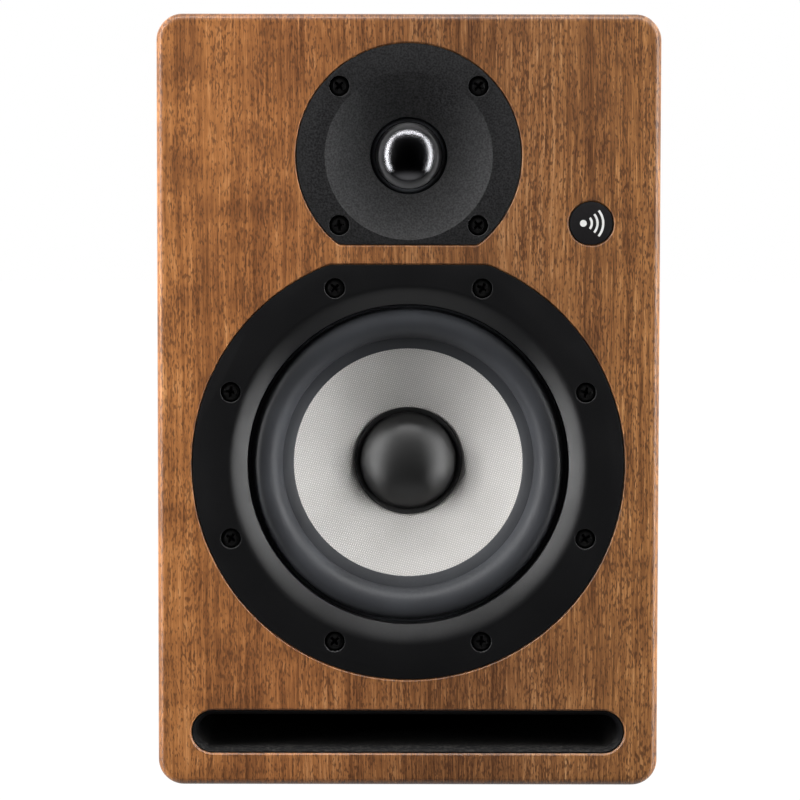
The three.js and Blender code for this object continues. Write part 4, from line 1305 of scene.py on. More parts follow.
@dataclass
class Cabinet:
    """The wooden box: front baffle, sleeve, rear board, port, badge and wadding."""

    places: Places
    finishes: Finishes
    corner: float = 9.5 * MM
    roundover: float = 3.0 * MM
    baffle: float = 18.0 * MM
    wall: float = 12.0 * MM
    arris: float = 0.6 * MM
    slot: Point = (160.6 * MM, 16.1 * MM)
    gap: float = 0.3 * MM
    fit: float = 0.16 * MM

    def outline(self, grow: float = 0.0, steps: int = 14) -> Outline:
        """The cabinet's outline seen from the front."""
        middle = (0.0, self.places.height / 2)
        width, height = 2 * self.places.half_width + 2 * grow, self.places.height + 2 * grow
        return rounded_rectangle(middle, width, height, self.corner + grow, steps)

    def mouth(self, shape: Callable[[float], Outline], depth: float) -> Mesh:
        """A tool that cuts a recess with a small arris at the face.

        Args:
            shape: Gives the recess's outline, grown by a distance.
            depth: How deep it goes.

        Returns:
            The tool.
        """
        front = self.places.front
        wide, plain = shape(self.arris + 0.5 * MM), shape(0.0)
        return lofted([(wide, front - 0.5 * MM), (plain, front + self.arris), (plain, front + depth)])

    def build_baffle(self) -> None:
        """The front baffle: a rounded board with a recess for each driver and the port's slot."""
        p = self.places
        outline = self.outline()
        board = lofted([(outline, p.front), (outline, p.front + self.baffle)])
        soften(board, at_depth(p.front), self.roundover, 7)
        woofer, tweeter = Woofer(p, self.finishes), Tweeter(p, self.finishes)
        badge, behind = Places.middle("badge"), p.front + self.baffle + 1 * MM
        wide, high = self.slot
        tools = [
            self.mouth(lambda g: woofer.outline(g + self.fit), 8.0 * MM),
            self.mouth(lambda g: tweeter.outline(g + self.fit), 4.3 * MM),
            self.mouth(lambda g: stadium(p.slot, wide + 2 * g, high + 2 * g), self.baffle + 1 * MM),
            self.mouth(lambda g: circle((badge.x, badge.z), 8.2 * MM + g, 64), 1.5 * MM),
            prism(circle(p.woofer, 67.1 * MM, 128), p.front + 1 * MM, behind),
            prism(circle(p.tweeter, 31.0 * MM, 96), p.front + 1 * MM, behind),
        ]
        wood = self.finishes.baffle_wood
        piece("front_baffle_board", carve(board, tools), wood, CABINET, ["front_baffle"], 28)

    def along(self, x: float, z: float) -> float:
        """How far round the outline a point is, from the foot of the left side, up and over.

        Args:
            x: The point's X.
            z: The point's Z.

        Returns:
            The distance along the outline.
        """
        half, high, r = self.places.half_width, self.places.height, self.corner
        bend = r * math.pi / 2
        left, top = high - 2 * r, 2 * half - 2 * r
        if x < -half + r and z > high - r:
            return left + r * (math.pi - math.atan2(z - high + r, x + half - r))
        if x > half - r and z > high - r:
            return left + bend + top + r * (math.pi / 2 - math.atan2(z - high + r, x - half + r))
        if x > half - r and z < r:
            return 2 * left + 2 * bend + top - r * math.atan2(z - r, x - half + r)
        if x < -half + r and z < r:
            return -r * (math.atan2(z - r, x + half - r) % math.tau - math.pi)
        if x < -half + r:
            return z - r
        if z > high - r:
            return left + bend + (x + half - r)
        if x > half - r:
            return left + 2 * bend + top + (high - r - z)
        return 2 * left + 3 * bend + top + (half - r - x)

    def build_sleeve(self) -> None:
        """The four walls under one veneer that runs up the sides and over the top."""
        p = self.places
        front = p.front + self.baffle + self.gap
        outline = self.outline()
        made = lofted([(outline, front), (outline, p.back)])
        soften(made, at_depth(p.back), 1.2 * MM, 4)
        soften(made, at_depth(front), 0.35 * MM, 2)
        inner = 2 * (p.half_width - self.wall), p.height - 2 * self.wall
        hollow = rounded_rectangle((0.0, p.height / 2), inner[0], inner[1], 0.5 * MM, 2)
        made = carve(made, [prism(hollow, front - 1 * MM, p.back + 1 * MM)])
        grain = made.loops.layers.uv.new("grain")
        for face in made.faces:
            middle = face.calc_center_median()
            ended = abs(face.normal.y) > 0.9
            for loop in face.loops:
                x, y, z = loop.vert.co
                run = z if ended else self.along(x + (middle.x - x) * 1e-3, z + (middle.z - z) * 1e-3)
                loop[grain].uv = (x, run) if ended else (y + 0.31, run)
        walls = ["left_side_panel", "right_side_panel", "top_panel", "bottom_panel"]
        piece("cabinet_sleeve", made, self.finishes.sleeve_wood, CABINET, walls, 28)

    def build_rear(self) -> None:
        """The rear board, let in between the walls."""
        low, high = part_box("rear_panel")
        p = self.places
        outline = rounded_rectangle((0.0, p.height / 2), high[0] - low[0], high[2] - low[2], 0.6 * MM, 3)
        board = prism(outline, low[1], high[1])
        soften(board, at_depth(high[1]), 0.5 * MM, 2)
        window = rounded_rectangle(p.plate, 126 * MM, 198 * MM, 3 * MM, 4)
        made = carve(board, [prism(window, low[1] - 1 * MM, high[1] + 1 * MM)])
        piece("rear_board", made, self.finishes.back_paint, CABINET, ["rear_panel"])

    def build_port(self) -> None:
        """The slot port: a flat duct with round ends and a rolled mouth."""
        low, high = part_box("port_duct")
        p = self.places
        width, height = high[0] - low[0], high[2] - low[2]
        body = prism(stadium(p.slot, width, height), low[1], high[1])
        roll = [(1.8, -0.2), (1.72, 0.15), (1.45, 0.6), (1.05, 1.3), (0.6, 2.2), (0.25, 3.3), (0.0, 5.0)]
        across, up = width - 4 * MM, height - 4 * MM
        sections = [
            (stadium(p.slot, across + 2 * grow * MM, up + 2 * grow * MM), low[1] + depth * MM)
            for grow, depth in roll
        ]
        sections.append((stadium(p.slot, across, up), high[1] + 1 * MM))
        made = carve(body, [lofted(sections)])
        piece("port_tube", made, self.finishes.port, CABINET, ["port_duct"])

    def build_badge(self) -> None:
        """The round badge, with a plain sign of a source and its waves."""
        low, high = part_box("badge")
        middle = Places.middle("badge")
        radius = (high[0] - low[0]) / 2
        place = (middle.x, middle.z)
        front = low[1] + 0.05 * MM
        disc = turned(
            [(0.0, front), (radius - 0.5 * MM, front), (radius - 0.12 * MM, front + 0.12 * MM),
             (radius, front + 0.4 * MM), (radius, high[1]), (0.0, high[1])], 72, place,
        )
        piece("badge_disc", disc, self.finishes.gloss, CABINET, ["badge"])
        face, lift = front + 0.05 * MM, 0.045 * MM
        source, spread = (place[0] - 2.9 * MM, place[1]), math.radians(40)
        shapes = [circle(source, 1.25 * MM, 32)]
        for reach in (3.1, 5.2, 7.3):
            outer = arc(source, (reach + 0.42) * MM, -spread, spread, 20)
            shapes.append(outer + arc(source, (reach - 0.42) * MM, spread, -spread, 20))
        marks = [prism(shape, face - lift - 0.05 * MM, face) for shape in shapes]
        piece("badge_sign", join(marks), self.finishes.mark)

    def build_wadding(self) -> None:
        """The three pads of loose wadding."""
        for number, node in enumerate(("damping_pad_left", "damping_pad_right", "damping_pad_top")):
            low, high = (Vector(v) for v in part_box(node))
            size, middle = high - low, (low + high) / 2
            made = bmesh.new()
            bmesh.ops.create_cube(made, size=1.0)
            bmesh.ops.subdivide_edges(made, edges=made.edges[:], cuts=11, use_grid_fill=True)
            relax(made)
            relax(made)
            rng = random.Random(40 + number)
            for vert in made.verts:
                vert.co *= 1.0 - 0.05 * rng.random()
            relax(made)
            widest = [max(abs(v.co[axis]) for v in made.verts) for axis in range(3)]
            fit = [0.995 * size[axis] / (2 * widest[axis]) for axis in range(3)]
            bmesh.ops.scale(made, verts=made.verts[:], vec=fit)
            shift(made, *middle)
            name = node.replace("damping", "wadding")
            pad = piece(name, made, self.finishes.wool, CABINET, [node], 80)

    def build(self) -> None:
        """Builds the cabinet."""
        self.build_baffle()
        self.build_sleeve()
        self.build_rear()
        self.build_port()
        self.build_badge()
        self.build_wadding()


# ---- the drivers


@dataclass
class Driver:
    """What both drivers have: a plate that is let into the baffle, held by a circle of screws."""

    places: Places
    finishes: Finishes
    plate: float = 41.1 * MM
    flat: float = 32.5 * MM
    fillet: float = 3.0 * MM
    flat_side: int = -1
    thickness: float = 4.0 * MM
    screws: int = 4
    screw_circle: float = 36.0 * MM

    @property
    def centre(self) -> Point:
        """The driver's X and Z."""
        return self.places.tweeter

    def outline(self, grow: float) -> Outline:
        """The plate's outline, grown by a distance."""
        return flatted_circle(self.centre, self.plate, self.flat, self.fillet, self.flat_side, grow)

    def deep(self, profile: Iterable[Point]) -> list[Point]:
        """Moves a profile's depths to the baffle's face."""
        return [(r, self.places.front + y) for r, y in profile]

    def screw_places(self) -> list[Point]:
        """The screws' X and Z, clockwise from the top."""
        first = math.pi / 2 - math.pi / self.screws
        return ring_of(self.centre, self.screw_circle, self.screws, first)

    def blank(self, ease: float, slope: float) -> Mesh:
        """The plate before it is cut, with an eased edge.

        Args:
            ease: The width of the easing.
            slope: The width of its first, flat step.

        Returns:
            The solid.
        """
        front = self.places.front
        return lofted([
            (self.outline(-ease), front), (self.outline(-slope), front + slope),
            (self.outline(0.0), front + ease), (self.outline(0.0), front + self.thickness),
        ])

    def cut_plate(self, blank: Mesh, behind: Mesh, mouth: Mesh) -> Mesh:
        """Joins a plate with what stands behind it, and cuts its mouth and its screws' seats.

        Args:
            blank: The uncut plate.
            behind: The ring behind it.
            mouth: The tool that cuts its mouth.

        Returns:
            The plate.
        """
        front, spots = self.places.front, self.screw_places()
        seats = [bored(place, 3.75 * MM, front, 2.9 * MM, 0.2 * MM) for place in spots]
        holes = [prism(circle(place, 2.2 * MM, 20), front + 1 * MM, front + 9 * MM) for place in spots]
        return carve(carve(blank, [behind], Cut.ADD), [mouth, *seats, *holes])

    def build_screws(self, name: str, node: str, seed: int) -> None:
        """The screws, each with its cross turned its own way.

        Args:
            name: What the pieces are called.
            node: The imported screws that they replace.
            seed: Where the random turns start.
        """
        rng = random.Random(seed)
        for number, place in enumerate(self.screw_places(), 1):
            made = PanScrew().build(place, self.places.front + 0.5 * MM, rng.uniform(0.0, math.pi / 2))
            old = [f"{node}_{number}"]
            piece(f"{name}_{number}", made, self.finishes.screw, CABINET, old)

    def spread(self, thing: bpy.types.Object, body: str, still: float, moved: float) -> None:
        """Bakes a soft ring's placement into its mesh.

        Args:
            thing: The ring.
            body: Not used.
            still: Not used.
            moved: Not used.
        """
        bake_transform(thing)


@dataclass
class Woofer(Driver):
    """The woofer: trim ring, screws, rubber surround, woven cone and dust cap, and its motor behind."""

    plate: float = 79.5 * MM
    flat: float = 74.0 * MM
    fillet: float = 7.0 * MM
    flat_side: int = 1
    mouth: float = 67.0 * MM
    throat: float = 59.5 * MM
    lip_depth: float = 8.3 * MM
    screw_circle: float = 70.8 * MM
    screws: int = 8
    seat: float = 8.6 * MM
    foot: float = 11.0 * MM
    roll_outer: float = 57.8 * MM
    roll_inner: float = 46.6 * MM
    roll_height: float = 5.6 * MM
    rubber: float = 0.55 * MM
    cone_edge: float = 46.2 * MM
    neck: float = 13.2 * MM
    cone_front: float = 12.0 * MM
    cone_depth: float = 12.0 * MM
    cap: float = 18.0 * MM
    cap_rim: float = 20.1 * MM
    cap_height: float = 8.7 * MM

    @property
    def centre(self) -> Point:
        """The woofer's X and Z."""
        return self.places.woofer

    @property
    def slope(self) -> float:
        """How much deeper the cone lies for each step inwards."""
        return self.cone_depth / (self.cone_edge - self.neck)

    def cone_at(self, radius: float) -> float:
        """The depth of the cone's front at a radius."""
        return self.cone_front + (self.cone_edge - radius) * self.slope

    def build_ring(self) -> None:
        """The trim ring: a flat rim that rolls over into the throat, with a sunk seat for each screw."""
        inner, outer = self.throat - 2 * MM, self.throat + 4.2 * MM
        profile = [(inner, 3.5 * MM), (outer, 3.5 * MM), (outer, self.lip_depth), (inner, self.lip_depth)]
        lip = turned(self.deep(profile), 160, self.centre)
        steps, ease = 22, 1.9 * MM
        roll = []
        for i in range(steps + 1):
            inward = (self.mouth - self.throat) * (i / steps)
            fall = (math.sqrt(inward ** 2 + ease ** 2) - ease) * 0.7
            roll.append((self.mouth - inward, fall))
        wall = self.throat - 0.15 * MM
        profile = [(0.0, -1 * MM), (self.mouth, -1 * MM), *roll, (wall, roll[-1][1] + 0.5 * MM)]
        throat = turned(self.deep([*profile, (wall, 10 * MM), (0.0, 10 * MM)]), 256, self.centre)
        made = self.cut_plate(self.blank(0.35 * MM, 0.08 * MM), lip, throat)
        piece("trim_ring", made, self.finishes.ring, CABINET, ["woofer_trim_ring"], 24)

    def build_surround(self) -> None:
        """The rubber surround: outer flange, half roll and the flange that is glued on the cone."""
        middle, half = (self.roll_outer + self.roll_inner) / 2, (self.roll_outer - self.roll_inner) / 2
        steps = 36

        def skin(inset: float) -> list[Point]:
            """One face of the roll, outer foot first."""
            points = []
            for i in range(steps + 1):
                turned_by = math.pi * i / steps
                share = 0.5 - 0.5 * math.cos(turned_by)
                base = self.seat + (self.foot - self.seat) * share
                rise = (self.roll_height - inset) * math.sin(turned_by) ** 0.92
                points.append((middle + math.cos(turned_by) * (half - inset), base - rise + inset))
            return points

        edge = self.cone_edge - 3.7 * MM
        drop = self.foot + (self.roll_inner - edge) * self.slope
        front = [
            *stepped(self.seat, (63.6, 0), (59.2, 0), (58.9, -0.35), (58.5, -0.35), (58.2, 0)), *skin(0.0),
            (self.roll_inner - 0.35 * MM, self.foot + 0.1 * MM),
            (edge + 0.35 * MM, drop - 0.15 * MM), (edge, drop + 0.1 * MM),
        ]
        back = [
            (edge, drop + 0.55 * MM), (self.roll_inner, self.foot + self.rubber),
            *reversed(skin(self.rubber)), (63.6 * MM, self.seat + self.rubber),
        ]
        made = turned(self.deep(front + back), 224, self.centre)
        old = ["woofer_surround"]
        bowl = piece("surround_roll", made, self.finishes.rubber, "", old, crease=40)
        y = self.places.front
        self.spread(bowl, "woofer_diaphragm", y + self.seat + self.rubber, y + self.foot + 0.1 * MM)

    def build_cone(self) -> None:
        """The woven cone."""
        steps = 20
        radii = [self.cone_edge + (self.neck - self.cone_edge) * i / steps for i in range(steps + 1)]
        front = [(r, self.cone_at(r)) for r in radii]
        back = [(r, y + 0.8 * MM) for r, y in reversed(front)]
        made = turned(self.deep(front + back), 192, self.centre)
        piece("cone_shell", made, self.finishes.weave, "woofer_diaphragm", ["woofer_cone"])

    def build_cap(self) -> None:
        """The dust cap: a rim glued on the cone, a groove, and a round crown."""
        thick = 0.9 * MM
        rim, foot = self.cone_at(self.cap_rim) - thick, self.cone_at(self.cap) - thick
        crown = crown_of(self.cap, self.cap_height, foot, 28)
        front = [
            (self.cap_rim, rim + 0.5 * MM), (self.cap_rim - 0.05 * MM, rim + 0.12 * MM),
            (self.cap_rim - 0.35 * MM, rim), (self.cap + 0.9 * MM, foot - 0.35 * MM),
            (self.cap + 0.55 * MM, foot - 0.1 * MM), (self.cap + 0.3 * MM, foot + 0.25 * MM),
            (self.cap + 0.05 * MM, foot + 0.2 * MM), *crown,
        ]
        inner = [(r * 0.965, y + 0.6 * MM) for r, y in reversed(crown)]
        profile = front + inner + [(self.cap_rim - 0.2 * MM, rim + 0.6 * MM)]
        made = turned(self.deep(profile), 160, self.centre)
        piece("cap_dome", made, self.finishes.cap, "woofer_diaphragm", ["woofer_dust_cap"], 38)

    def build_spider(self) -> None:
        """The corrugated cloth that centres the coil."""
        low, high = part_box("woofer_spider")
        inner, outer = 13.5 * MM, high[0] - 0.2 * MM
        front, drop = low[1] + 1.2 * MM, 2.6 * MM
        steps = 72

        def line(offset: float) -> list[Point]:
            """One face of the cloth, from the coil outwards."""
            points = []
            for s in (i / steps for i in range(steps + 1)):
                fade = min(1.0, 8 * s * (1 - s))
                wave = 0.8 * MM * math.sin(s * 10 * math.pi) * fade
                points.append((inner + (outer - inner) * s, front + drop * (0.35 + 0.5 * s) + wave + offset))
            return points

        made = turned(line(0.0) + list(reversed(line(0.4 * MM))), 96, self.centre)
        cloth = piece("spider_cloth", made, self.finishes.spider, "", ["woofer_spider"], 60)
        self.spread(cloth, "woofer_diaphragm", front + 0.9 * drop, front + 0.2 * drop)

    def build(self) -> None:
        """Builds the woofer."""
        self.build_ring()
        self.build_screws("trim_screw", "woofer_screw", 7)
        self.build_surround()
        self.build_cone()
        self.build_cap()
        self.build_spider()
        f = self.finishes
        for node, finish in {
            "woofer_gasket": f.foam, "woofer_basket": f.basket, "woofer_voice_coil": f.copper,
            "woofer_top_plate": f.steel, "woofer_magnet": f.ferrite, "woofer_yoke": f.steel,
        }.items():
            dress(node, finish)


@dataclass
class Tweeter(Driver):
    """The tweeter: faceplate with its shallow dish, screws, metal dome and roll, and its motor behind."""

    dish: float = 30.8 * MM
    curve: float = 61.6 * MM
    hole: float = 14.3 * MM
    boss: float = 28.0 * MM
    boss_depth: float = 9.4 * MM
    dome: float = 12.2 * MM
    dome_height: float = 6.3 * MM

    def build_plate(self) -> None:
        """The faceplate."""
        inner, top, bottom = self.hole - 2 * MM, 3.5 * MM, self.boss_depth
        profile = [(inner, top), (self.boss, top), (self.boss, bottom), (inner, bottom)]
        boss = turned(self.deep(profile), 128, self.centre)
        steps = 24
        radii = [self.dish - (self.dish - self.hole) * i / steps for i in range(steps + 1)]
        floor = math.sqrt(self.curve ** 2 - self.dish ** 2)
        bowl = [(r, math.sqrt(self.curve ** 2 - r ** 2) - floor) for r in radii]
        profile = [(0.0, -1 * MM), (self.dish, -1 * MM), *bowl, (self.hole, 11 * MM), (0.0, 11 * MM)]
        tool = turned(self.deep(profile), 192, self.centre)
        made = self.cut_plate(self.blank(0.3 * MM, 0.07 * MM), boss, tool)
        piece("tweeter_plate", made, self.finishes.faceplate, CABINET, ["tweeter_faceplate"], 24)

    def build_dome(self) -> None:
        """The metal dome with its short skirt."""
        crown = crown_of(self.dome, self.dome_height, self.boss_depth, 30)
        inner = [(r * 0.965, y + 0.4 * MM) for r, y in reversed(crown)]
        skirt = self.dome + 0.3 * MM
        profile = [(skirt, self.boss_depth), *crown, *inner, (skirt, self.boss_depth + 0.5 * MM)]
        made = turned(self.deep(profile), 128, self.centre)
        piece("dome_shell", made, self.finishes.dome, "tweeter_diaphragm", ["tweeter_dome"], 45)

    def build_roll(self) -> None:
        """The dome's narrow roll and its clamped flange."""
        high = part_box("tweeter_surround")[1]
        inner, foot, outer = self.dome + 0.2 * MM, 13.9 * MM, high[0]
        seat = self.boss_depth + 0.3 * MM
        middle, half = (inner + foot) / 2, (foot - inner) / 2
        steps = 14

        def skin(offset: float) -> list[Point]:
            """One face of the roll, outer foot first."""
            points = []
            for a in (math.pi * i / steps for i in range(steps + 1)):
                sink = seat - 0.45 * MM * (0.5 - 0.5 * math.cos(a))
                points.append((middle + math.cos(a) * half, sink - 0.55 * MM * math.sin(a) + offset))
            return points

        profile = [(outer, seat), *skin(0.0), *reversed(skin(0.25 * MM)), (outer, seat + 0.25 * MM)]
        made = turned(self.deep(profile), 128, self.centre)
        roll = piece("dome_roll", made, self.finishes.rubber, "", ["tweeter_surround"], 45)
        y = self.places.front
        self.spread(roll, "tweeter_diaphragm", y + seat + 0.2 * MM, y + seat - 0.42 * MM)

    def build(self) -> None:
        """Builds the tweeter."""
        self.build_plate()
        self.build_screws("plate_screw", "tweeter_screw", 11)
        self.build_dome()
        self.build_roll()
        f = self.finishes
        for node, finish in {
            "tweeter_voice_coil": f.copper, "tweeter_top_plate": f.steel,
            "tweeter_magnet": f.ferrite, "tweeter_yoke": f.steel,
        }.items():
            dress(node, finish)


# ---- the amplifier


@dataclass(frozen=True)
class Dial:
    """One control knob on the amplifier plate."""

    node: str
    body: str
    radius: float
    length: float
    flutes: int


@dataclass
class Amplifier:
    """The amplifier on the back: plate, heat sink, knobs, sockets, switches, and the boards inside."""

    places: Places
    finishes: Finishes
    width: float = 149.0 * MM
    height: float = 220.0 * MM
    corner: float = 4.0 * MM
    seat_gap: float = 0.3 * MM
    knob_lift: float = 0.8 * MM
    print_lift: float = 0.03 * MM
    dials: Sequence[Dial] = (
        Dial("volume_knob", "volume", 9.0 * MM, 13.4 * MM, 30),
        Dial("treble_knob", "treble", 6.5 * MM, 11.5 * MM, 22),
        Dial("bass_knob", "bass", 6.5 * MM, 11.5 * MM, 22),
    )

    @property
    def seat(self) -> float:
        """The depth that the fittings' flanges sit at."""
        return self.places.plate_face + self.seat_gap

    def fitting(self, node: str) -> tuple[Point, Vector, Vector]:
        """A fitting's middle in X and Z, and its box.

        Args:
            node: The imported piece.

        Returns:
            The middle, the low corner and the high corner.
        """
        low, high = (Vector(v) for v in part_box(node))
        return ((low.x + high.x) / 2, (low.z + high.z) / 2), low, high

    def flange(self, place: Point, face: float, rows: Sequence[Sequence[float]], steps: int = 8) -> Mesh:
        """A fitting's rounded plate, from its seat up to its face, with an eased edge.

        Args:
            place: Its X and Z.
            face: The depth of its face.
            rows: Its width, height, corner radius and depth under the face, step by step, in millimetres.
            steps: The chords in each corner.

        Returns:
            The solid.
        """
        shapes = [rounded_rectangle(place, w * MM, h * MM, r * MM, steps) for w, h, r, _ in rows]
        return lofted([(shapes[0], self.seat), *zip(shapes, [face - row[3] * MM for row in rows])])

    def tub(self, place: Point, inner: float, width: float, height: float) -> Mesh:
        """The part of a fitting that goes through the plate.

        Args:
            place: Its X and Z.
            inner: The depth of its inner end.
            width: Half its width, in millimetres.
            height: Half its height, in millimetres.

        Returns:
            The solid.
        """
        low = (place[0] - width * MM, inner, place[1] - height * MM)
        return block(low, (place[0] + width * MM, self.seat + 0.5 * MM, place[1] + height * MM))

    def window(self, place: Point, sizes: Sequence[float], front: float, back: float, steps: int = 2) -> Mesh:
        """A tool that cuts a rectangular opening.

        Args:
            place: Its X and Z.
            sizes: Its width, height and corner radius, in millimetres.
            front: The depth it starts at.
            back: The depth it ends at.
            steps: The chords in each corner.

        Returns:
            The tool.
        """
        width, height, radius = (size * MM for size in sizes)
        return prism(rounded_rectangle(place, width, height, radius, steps), front, back)

    def rear_screw(self, name: str, place: Point, face: float, radius: float = 2.6 * MM) -> None:
        """A small pan-head screw that faces back.

        Args:
            name: Its name.
            place: Its X and Z.
            face: The depth of the face it bears on.
            radius: The radius of its head.
        """
        screw = PanScrew(radius, 1.5 * MM, radius * 0.55, 4.0 * MM)
        facing = random.Random(name).uniform(0.0, math.pi / 2)
        made = screw.build((0.0, 0.0), 0.0, facing)
        turn(made, math.pi, "Z")
        shift(made, place[0], face + 1.45 * MM, place[1])
        piece(name, made, self.finishes.screw)

    def build_plate(self) -> None:
        """The steel plate with an opening for each fitting, and the screws round its edge."""
        p = self.places
        low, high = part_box("amp_plate")
        outline = rounded_rectangle(p.plate, self.width, self.height, self.corner, 8)
        board = prism(outline, low[1], high[1])
        soften(board, at_depth(high[1]), 0.5 * MM, 3)
        front, back = low[1] - 1 * MM, high[1] + 1 * MM
        holes = [prism(circle(self.fitting(d.node)[0], 3.8 * MM, 24), front, back) for d in self.dials]
        combo, phono = self.fitting("combo_jack")[0], self.fitting("phono_jack")[0]
        holes.append(prism(circle(combo, 12.1 * MM, 48), front, back))
        holes.append(prism(circle(phono, 5.6 * MM, 24), front, back))
        openings = {
            "mains_inlet": (28.6, 27.6, 0.5), "power_switch_frame": (13.2, 19.2, 0.5),
            "voltage_selector": (18.6, 8.6, 0.5),
        }
        holes += [self.window(self.fitting(node)[0], sizes, front, back) for node, sizes in openings.items()]
        piece("plate_sheet", carve(board, holes), self.finishes.powder, CABINET, ["amp_plate"])
        x, z = self.width / 2 - 5 * MM, self.height / 2 - 5 * MM
        rows = [(-x, z), (0.0, z), (x, z), (-x, z / 3), (x, z / 3)]
        rows += [(-x, -z / 3), (x, -z / 3), (-x, -z), (0.0, -z), (x, -z)]
        for number, (dx, dz) in enumerate(rows, 1):
            spot = (p.plate[0] + dx, p.plate[1] + dz)
            self.rear_screw(f"plate_edge_screw_{number}", spot, high[1], 3.2 * MM)

    def build_heat_sink(self) -> None:
        """The finned heat sink, one extrusion with round roots and tips."""
        middle, low, high = self.fitting("heat_sink")
        fins, thick, base, fillet = 13, 2.0 * MM, 3.0 * MM, 0.8 * MM
        pitch = (high.x - low.x - thick) / (fins - 1)
        root, tip = low.y + base, high.y
        comb: Outline = [(high.x, -low.y), (low.x, -low.y)]
        for fin in range(fins):
            x = low.x + fin * pitch
            if fin > 0:
                comb += arc((x - fillet, -(root + fillet)), fillet, math.pi / 2, 0.0, 4)
            comb += arc((x + thick / 2, -(tip - thick / 2)), thick / 2, -math.pi, 0.0, 8)
            if fin < fins - 1:
                comb += arc((x + thick + fillet, -(root + fillet)), fillet, -math.pi, -math.tau * 0.75, 4)
        made = prism(comb, low.z, high.z)
        turn(made, math.pi / 2, "X")
        bmesh.ops.recalc_face_normals(made, faces=made.faces[:])
        piece("heat_sink_fins", made, self.finishes.anodised, CABINET, ["heat_sink"], 40)
        for number, dx in enumerate((-1.5, 1.5)):
            for row, dz in enumerate((-22 * MM, 22 * MM)):
                place = (middle[0] + dx * pitch, middle[1] + dz)
                self.rear_screw(f"sink_screw_{2 * number + row + 1}", place, root, 2.3 * MM)

    def build_knob(self, dial: Dial) -> None:
        """A fluted knob with a skirt, a shaft and a white pointer.

        Args:
            dial: The knob's sizes.
        """
        place = self.fitting(dial.node)[0]
        front = self.places.plate_face + self.knob_lift
        r, h = dial.radius, dial.length
        back = front + h
        waist, steps = front + h * 0.25, dial.flutes * 8
        profile = stepped(front, (0, -12.5), (2.9, -12.5), (3.0, -12.3), (3.0, 0))
        profile += [
            (r - 0.3 * MM, front), (r, front + 0.3 * MM), (r, waist - 0.5 * MM),
            (r - 0.4 * MM, waist), (r * 0.7, front + h * 0.3), (0.0, front + h * 0.3),
        ]
        skirt = turned(profile, 96, place)

        def fluted(radius: float, groove: float) -> Outline:
            """A ring with flutes."""
            turns = [math.tau * i / steps for i in range(steps)]
            reach = [radius - groove * (0.5 - 0.5 * math.cos(a * dial.flutes)) ** 2 for a in turns]
            return [(place[0] + k * math.cos(a), place[1] + k * math.sin(a)) for k, a in zip(reach, turns)]

        deep = 0.45 * MM
        grip = lofted([
            (fluted(r * 0.86, deep), front + h * 0.22), (fluted(r * 0.83, deep), front + h * 0.6),
            (fluted(r * 0.8, deep), back - 1.1 * MM), (fluted(r * 0.775, deep * 0.7), back - 0.5 * MM),
            (fluted(r * 0.73, deep * 0.3), back - 0.12 * MM), (fluted(r * 0.68, 0.0), back),
        ])
        over = back + 1 * MM
        hollow = [(r * 0.56, over), (r * 0.56, back), (r * 0.5, back - 0.35 * MM), (0.0, back - 0.5 * MM)]
        dish = turned([(0.0, over), *hollow], 64, place)
        x, z = place
        slot = block((x - 0.55 * MM, back - 1.6 * MM, z + r * 0.25), (x + 0.55 * MM, over, z + r))
        made = carve(carve(skirt, [grip], Cut.ADD), [dish, slot])
        piece(f"{dial.body}_dial", made, self.finishes.soft_black, dial.body, [dial.node], 30)
        high = (x + 0.5 * MM, back - 0.75 * MM, z + r * 0.74)
        line = block((x - 0.5 * MM, back - 1.65 * MM, z + r * 0.27), high)
        piece(f"{dial.body}_pointer", line, self.finishes.mark, dial.body)
        face, lift = self.places.plate_face, self.print_lift
        ticks = []
        for step in range(11):
            angle = math.radians(240 - 30 * step)
            inner, outer = r + 1.6 * MM, r + (3.4 if step % 5 == 0 else 2.7) * MM
            bar = block((inner, face - 0.05 * MM, -0.18 * MM), (outer, face + lift, 0.18 * MM))
            ticks.append(shift(turn(bar, -angle, "Y"), place[0], 0.0, place[1]))
        piece(f"{dial.body}_scale", join(ticks), self.finishes.mark)

    def build_combo(self) -> None:
        """The combined microphone and jack socket."""
        place, low, high = self.fitting("combo_jack")
        face = high.y
        rows = ((26, 31, 2, 0.5), (25.4, 30.4, 1.7, 0.12), (25.0, 30.0, 1.5, 0.0))
        body = prism(circle(place, 11.8 * MM, 64), low.y, self.seat + 0.5 * MM)
        made = carve(self.flange(place, face, rows), [body], Cut.ADD)
        channel = turned(stepped(
            face, (7.7, -12), (9.7, -12), (9.7, -0.5), (10.3, 0.1), (10.3, 1), (7.3, 1), (7.3, 0.1),
            (7.7, -0.3),
        ), 72, place)
        bottom = low.y + 2 * MM
        bore = [(0.0, bottom), (3.3 * MM, bottom), *stepped(face, (3.3, -0.8), (4.1, 0.05), (4.1, 1), (0, 1))]
        spots = [
            (place[0] + 5.4 * MM * math.cos(a), place[1] + 5.4 * MM * math.sin(a))
            for a in (math.radians(90 + 120 * i) for i in range(3))
        ]
        tools = [channel, turned(bore, 40, place)]
        tools += [prism(circle(spot, 1.2 * MM, 20), face - 10 * MM, face + 1 * MM) for spot in spots]
        above = (place[0], place[1] + 12.9 * MM)
        tools.append(self.window(above, (6.5, 2.6, 0.6), face - 1.2 * MM, face + 1 * MM, 3))
        black, metal = self.finishes.black, self.finishes.nickel
        piece("combo_socket", carve(made, tools), black, CABINET, ["combo_jack"])
        latch = self.window(above, (5.9, 2.0, 0.5), face - 1.15 * MM, face - 0.1 * MM, 3)
        soften(latch, at_depth(face - 0.1 * MM), 0.3 * MM, 2)
        piece("combo_latch", latch, metal)
        tube = stepped(face, (0.75, -9.9), (1.12, -9.9), (1.12, -0.9), (0.95, -0.7), (0.75, -0.9))
